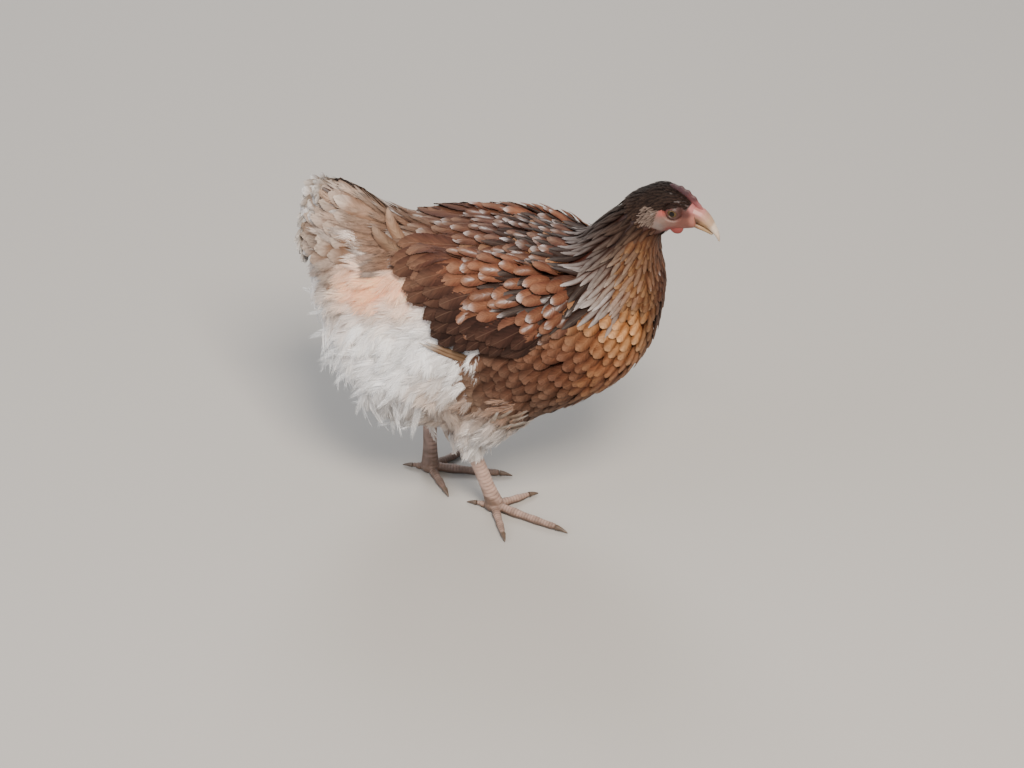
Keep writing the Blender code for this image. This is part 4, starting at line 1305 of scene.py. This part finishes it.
# --- comb, wattles and ear lobes --------------------------
# Fleshy, finely grained skin over gristle: a low red comb, paled to pink by painted light where it meets the
# bill and darkened to maroon by painted shade above, small red wattles and pale lobes.
# Comb flesh: full of blood under a rough thin skin, so it is dull and glows red at its edges.
flesh_finish = living_finish(
    "comb flesh",
    {"Scale": 180, "Detail": 4},
    (0.52, 0.9),
    (0.35, 0.3 * MM),
    {
        "Roughness": 0.6,
        "Subsurface Weight": 0.2,
        "Subsurface Radius": (0.003, 0.001, 0.0007),
        "Subsurface Scale": 0.6,
    },
    pebble=0.7 * MM,
)

# Colours in the head's frame, as for the face.
COMB = [
    # Pink in front where painted light falls on it, dark maroon behind and above as painted shade.
    (16, 0, 5, "985A58"),
    (13, 0, 8, "824648"),
    (11, 0, 12, "502729"),
    (0, 0, 16, "43252A"),
    (-4, 0, 19, "3C2327"),
]
WATTLE = [(4, 8, -19, "8E403A"), (4, 8, -24, "823430")]
LOBE = [(-17, 16, -8, "7E6C63"), (-17, 15, -14, "80685E")]
PART_REACH = 1.5 * MM  # how far each row of these three tables rules


def head_part(name, nodes, cell, rounds, table, finish, axis=0, outer=1, inner=0, sunk=0, lift=0):
    """A part of the head melted from its solids and coloured in the head's frame. Along one of the
    frame's axes it is drawn in towards the head by the distance sunk, not at all at outer and fully at
    inner, so that its root ends inside the skin; lift raises the whole part. All in millimetres."""
    piece = melted(name, nodes, cell * MM, rounds)
    at = read_out(piece.data.vertices, "co", 3)
    reach = head_place(at)[:, axis]
    root = ramp(np.abs(reach), outer, inner) * np.sign(reach) * sunk * MM
    at = at - root[:, None] * head_axes[axis] + lift * MM * head_axes[2]
    piece.data.vertices.foreach_set("co", at.ravel())
    piece.data.update()
    colour_layer(piece.data, blend(numbered(table), head_place(at) * MM, PART_REACH))
    piece.data.materials.append(finish)
    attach(piece, "root")
    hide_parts(*nodes)


head_part("comb_flesh", ["comb"], 0.4, 6, COMB, flesh_finish, lift=-2.6)
head_part(
    "wattles", ["wattle_right", "wattle_left"], 0.3, 5, WATTLE, flesh_finish,
    axis=2, outer=23, inner=17, sunk=1, lift=2.4,
)
head_part(
    "ear_lobes", ["earlobe_right", "earlobe_left"], 0.35, 5, LOBE, flesh_finish,
    axis=1, outer=90, inner=60, sunk=3.4,
)

# --- bill -------------------------------------------------
# A hard sheath of horn, smooth and a little glossy: pinkish at the root, tan along the cutting edges
# and cream at the hooked tip.
BILL = [
    (16, 3, 5, "B07068"),
    (20, 2, 4, "B27870"),
    (24, 2, 2, "B08874"),
    (28, 2, -1, "B6967A"),
    (34, 1, -5, "DCC8B4"),
    (18, 6, -5, "6E4E38"),
    (24, 4, -6, "A07A56"),
    (18, 4, -12, "7A5842"),
    (27, 2, -10, "A4845F"),
]
# Bill horn: grown in thin layers and worn smooth, so it has a soft shine over faint stains.
horn_finish = living_finish(
    "bill horn",
    {"Scale": 220, "Detail": 5},
    (0.58, 0.9),
    (0.2, 0.2 * MM),
    {
        "Roughness": 0.5,
        "Subsurface Weight": 0.1,
        "Subsurface Radius": (0.002, 0.001, 0.0006),
        "Subsurface Scale": 0.5,
    },
)
head_part("upper_bill", ["bill_upper"], 0.35, 5, BILL, horn_finish, outer=21, inner=17, sunk=5)
head_part(
    "lower_bill", ["bill_lower"], 0.35, 5, BILL, horn_finish,
    outer=22, inner=18, sunk=6, lift=1.3,
)

# --- legs and feet ----------------------------------------
# Scaly skin over bone and tendon: a row of plates down the front of the shank and over each toe, fine
# pebbles behind and beneath, with dried earth on the toes and painted shade on the soles and the back of
# the shank. Four toes on each foot.
PLATE_RISE = 0.32 * MM
SHANK_PITCH, TOE_PITCH = 3.6, 2.5  # millimetres from plate to plate
NARROWING = 0.32  # how much of its half width a toe loses where the claw grows out of it
ANKLES = {"right": (-6.9, -24, 7), "left": (-71.4, 18, 7)}
HOCKS = {"right": (-30.9, -36, 91), "left": (-75.9, 38, 90)}
LEG_DARKENING = {"right": 0.05, "left": 0.35}  # share of darker brown over each whole leg
# Leg scales: dry horny skin with earth dried on to it, so it is matt and blotched.
scale_finish = living_finish(
    "leg scales",
    {"Scale": 150, "Detail": 6, "Roughness": 0.65},
    (0.44, 0.94),
    (0.3, 0.3 * MM),
    {
        "Roughness": 0.58,
        "Subsurface Weight": 0.08,
        "Subsurface Radius": (0.003, 0.0012, 0.0008),
        "Subsurface Scale": 0.5,
    },
    pebble=1.1 * MM,
)
# Claw horn: harder than the scales and streaked from use, with a low shine.
claw_finish, tree, out = new_material("claw horn")
place = add(tree, "ShaderNodeTexCoord").outputs["Object"]
grain = add(tree, "ShaderNodeTexNoise", {"Vector": place, "Scale": 400, "Detail": 4})
tone = add(tree, "ShaderNodeValToRGB", {"Fac": grain.outputs["Fac"]})
tone.color_ramp.elements[0].color = (*linear("2E241C"), 1)
tone.color_ramp.elements[1].color = (*linear("6A5646"), 1)
surface = add(tree, "ShaderNodeBsdfPrincipled", {"Base Color": tone.outputs["Color"], "Roughness": 0.4})
tree.links.new(surface.outputs["BSDF"], out.inputs["Surface"])

for word in ("right", "left"):
    ankle, hock = np.array(ANKLES[word]) * MM, np.array(HOCKS[word]) * MM
    claws = [f"claw_{word}_{toe}" for toe in ("middle", "outer", "inner", "hind")]
    ends = [np.array((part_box(claw)[0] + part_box(claw)[1]) / 2) for claw in claws]
    leg = melted(f"leg_{word}", [f"shank_{word}", f"foot_{word}"], 0.6 * MM, 4)
    at = read_out(leg.data.vertices, "co", 3)
    facing = read_out(leg.data.vertex_normals, "vector", 3)
    toe_ahead = ends[0] - ankle
    toe_ahead[2] = 0
    toe_ahead /= np.linalg.norm(toe_ahead)
    best = np.full(len(at), 1.0)
    plate, top, inward = np.zeros(len(at)), np.zeros(len(at)), np.zeros((len(at), 3))
    bones = [(hock, SHANK_PITCH, toe_ahead), *((end, TOE_PITCH, np.array([0, 0, 1.0])) for end in ends)]
    for end, pitch, front in bones:
        bone = end - ankle
        long = np.linalg.norm(bone) / MM
        share = np.clip((at - ankle) @ bone / (bone @ bone), 0, 1.2)
        inside = ankle + share[:, None] * bone - at
        gap = np.linalg.norm(inside, axis=1)
        nearer = gap < best
        best[nearer] = gap[nearer]
        plate[nearer] = (1 - np.abs(2 * (share * long / pitch % 1) - 1) ** 3)[nearer]
        top[nearer] = ramp(facing @ front, -0.15, 0.35)[nearer]
        narrowing = NARROWING * ramp((1 - share) * long, 9.5, 4.5) * (pitch == TOE_PITCH)
        inward[nearer] = (inside * narrowing[:, None])[nearer]
    at = at + inward + facing * (PLATE_RISE * (plate - 0.6) * top)[:, None]
    leg.data.vertices.foreach_set("co", at.ravel())
    leg.data.update()
    low, soles = at[:, 2] < 0.016, ramp(facing[:, 2], 0.45, -0.2)
    high, backs = at[:, 2] > 0.012, ramp(facing @ toe_ahead, -0.1, -0.9)
    # Darker brown: dried earth low down on the toes; painted shade on the soles and up the back of the shank,
    # away from the light, with earth on the soles too; a given share over each whole leg; darker front seams.
    earth_and_shade = LEG_DARKENING[word] + 0.5 * ramp(at[:, 2] / MM, 34, 3) + 0.2 * swell(at, 4 * MM)
    earth_and_shade += 0.5 * soles * low + 0.3 * backs * high
    earth_and_shade = np.clip(earth_and_shade + 0.25 * (1 - plate) * top, 0, 0.85)
    clean = linear("D0AE9E") * (0.75 + 0.25 * plate * top + 0.15 * (1 - top))[:, None]
    colour_layer(leg.data, clean + (linear("5A4334") - clean) * earth_and_shade[:, None])
    leg.data.materials.append(scale_finish)
    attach(leg, "root")
    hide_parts(f"shank_{word}", f"foot_{word}")
    horn = melted(f"claws_{word}", claws, 0.3 * MM, 3)
    horn.data.materials.append(claw_finish)
    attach(horn, "root")
    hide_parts(*claws)

# --- stage: floor, light and camera -----------------------
# A plain pale floor under soft studio light. The camera looks down on the bird from its right.
bpy.ops.mesh.primitive_plane_add(size=30)
floor = bpy.context.active_object
floor.name = "floor"
# Painted board: rolled matt emulsion, so it shows soft shadows and no reflections.
floor.data.materials.append(plain_finish("matt painted board", "9E9A95", 0.85))

world = bpy.data.worlds.new("studio")
bpy.context.scene.world = world
world.use_nodes = True
world.node_tree.nodes["Background"].inputs["Color"].default_value = (*linear("E8ECF2"), 1)
world.node_tree.nodes["Background"].inputs["Strength"].default_value = 0.76


def lamp(name, place, aim, size, power, colour):
    """A soft square light at place, pointing at aim."""
    data = bpy.data.lights.new(name, "AREA")
    data.energy = power
    data.size = size
    data.color = linear(colour)
    made = bpy.data.objects.new(name, data)
    made.location = place
    made.rotation_euler = (Vector(aim) - Vector(place)).to_track_quat("-Z", "Y").to_euler()
    bpy.context.scene.collection.objects.link(made)


lamp("key", (0.7, -1.5, 2.2), (0, 0, 0.16), 0.8, 134, "FFF4E6")
lamp("fill", (-1.8, -1.3, 1.2), (0, 0, 0.16), 1.6, 23, "EAF1FF")
lamp("rim", (-0.6, 1.8, 1.8), (0, 0, 0.2), 1.0, 34, "FFFFFF")

CAMERA_AZIMUTH = math.radians(13)
CAMERA_ELEVATION = math.radians(33)
CAMERA_DISTANCE = 2.72
AIM_ACROSS, AIM_DOWN = 0.0016, 0.042  # from the bird's middle to where the camera is aimed
across = Vector((math.cos(CAMERA_AZIMUTH), math.sin(CAMERA_AZIMUTH), 0))
level = Vector((math.sin(CAMERA_AZIMUTH), -math.cos(CAMERA_AZIMUTH), 0))
back = level * math.cos(CAMERA_ELEVATION) + Vector((0, 0, math.sin(CAMERA_ELEVATION)))
bird_middle = Vector((0.001, 0, 0.16))
camera_place = bird_middle + back * CAMERA_DISTANCE
frame_middle = bird_middle + across * AIM_ACROSS - back.cross(across) * AIM_DOWN
lens = bpy.data.cameras.new("camera")
lens.lens = 119.5
lens.sensor_width = 36
lens.clip_end = 50
camera = bpy.data.objects.new("camera", lens)
camera.location = camera_place
camera.rotation_euler = (frame_middle - camera_place).to_track_quat("-Z", "Y").to_euler()
bpy.context.scene.collection.objects.link(camera)
bpy.context.scene.camera = camera
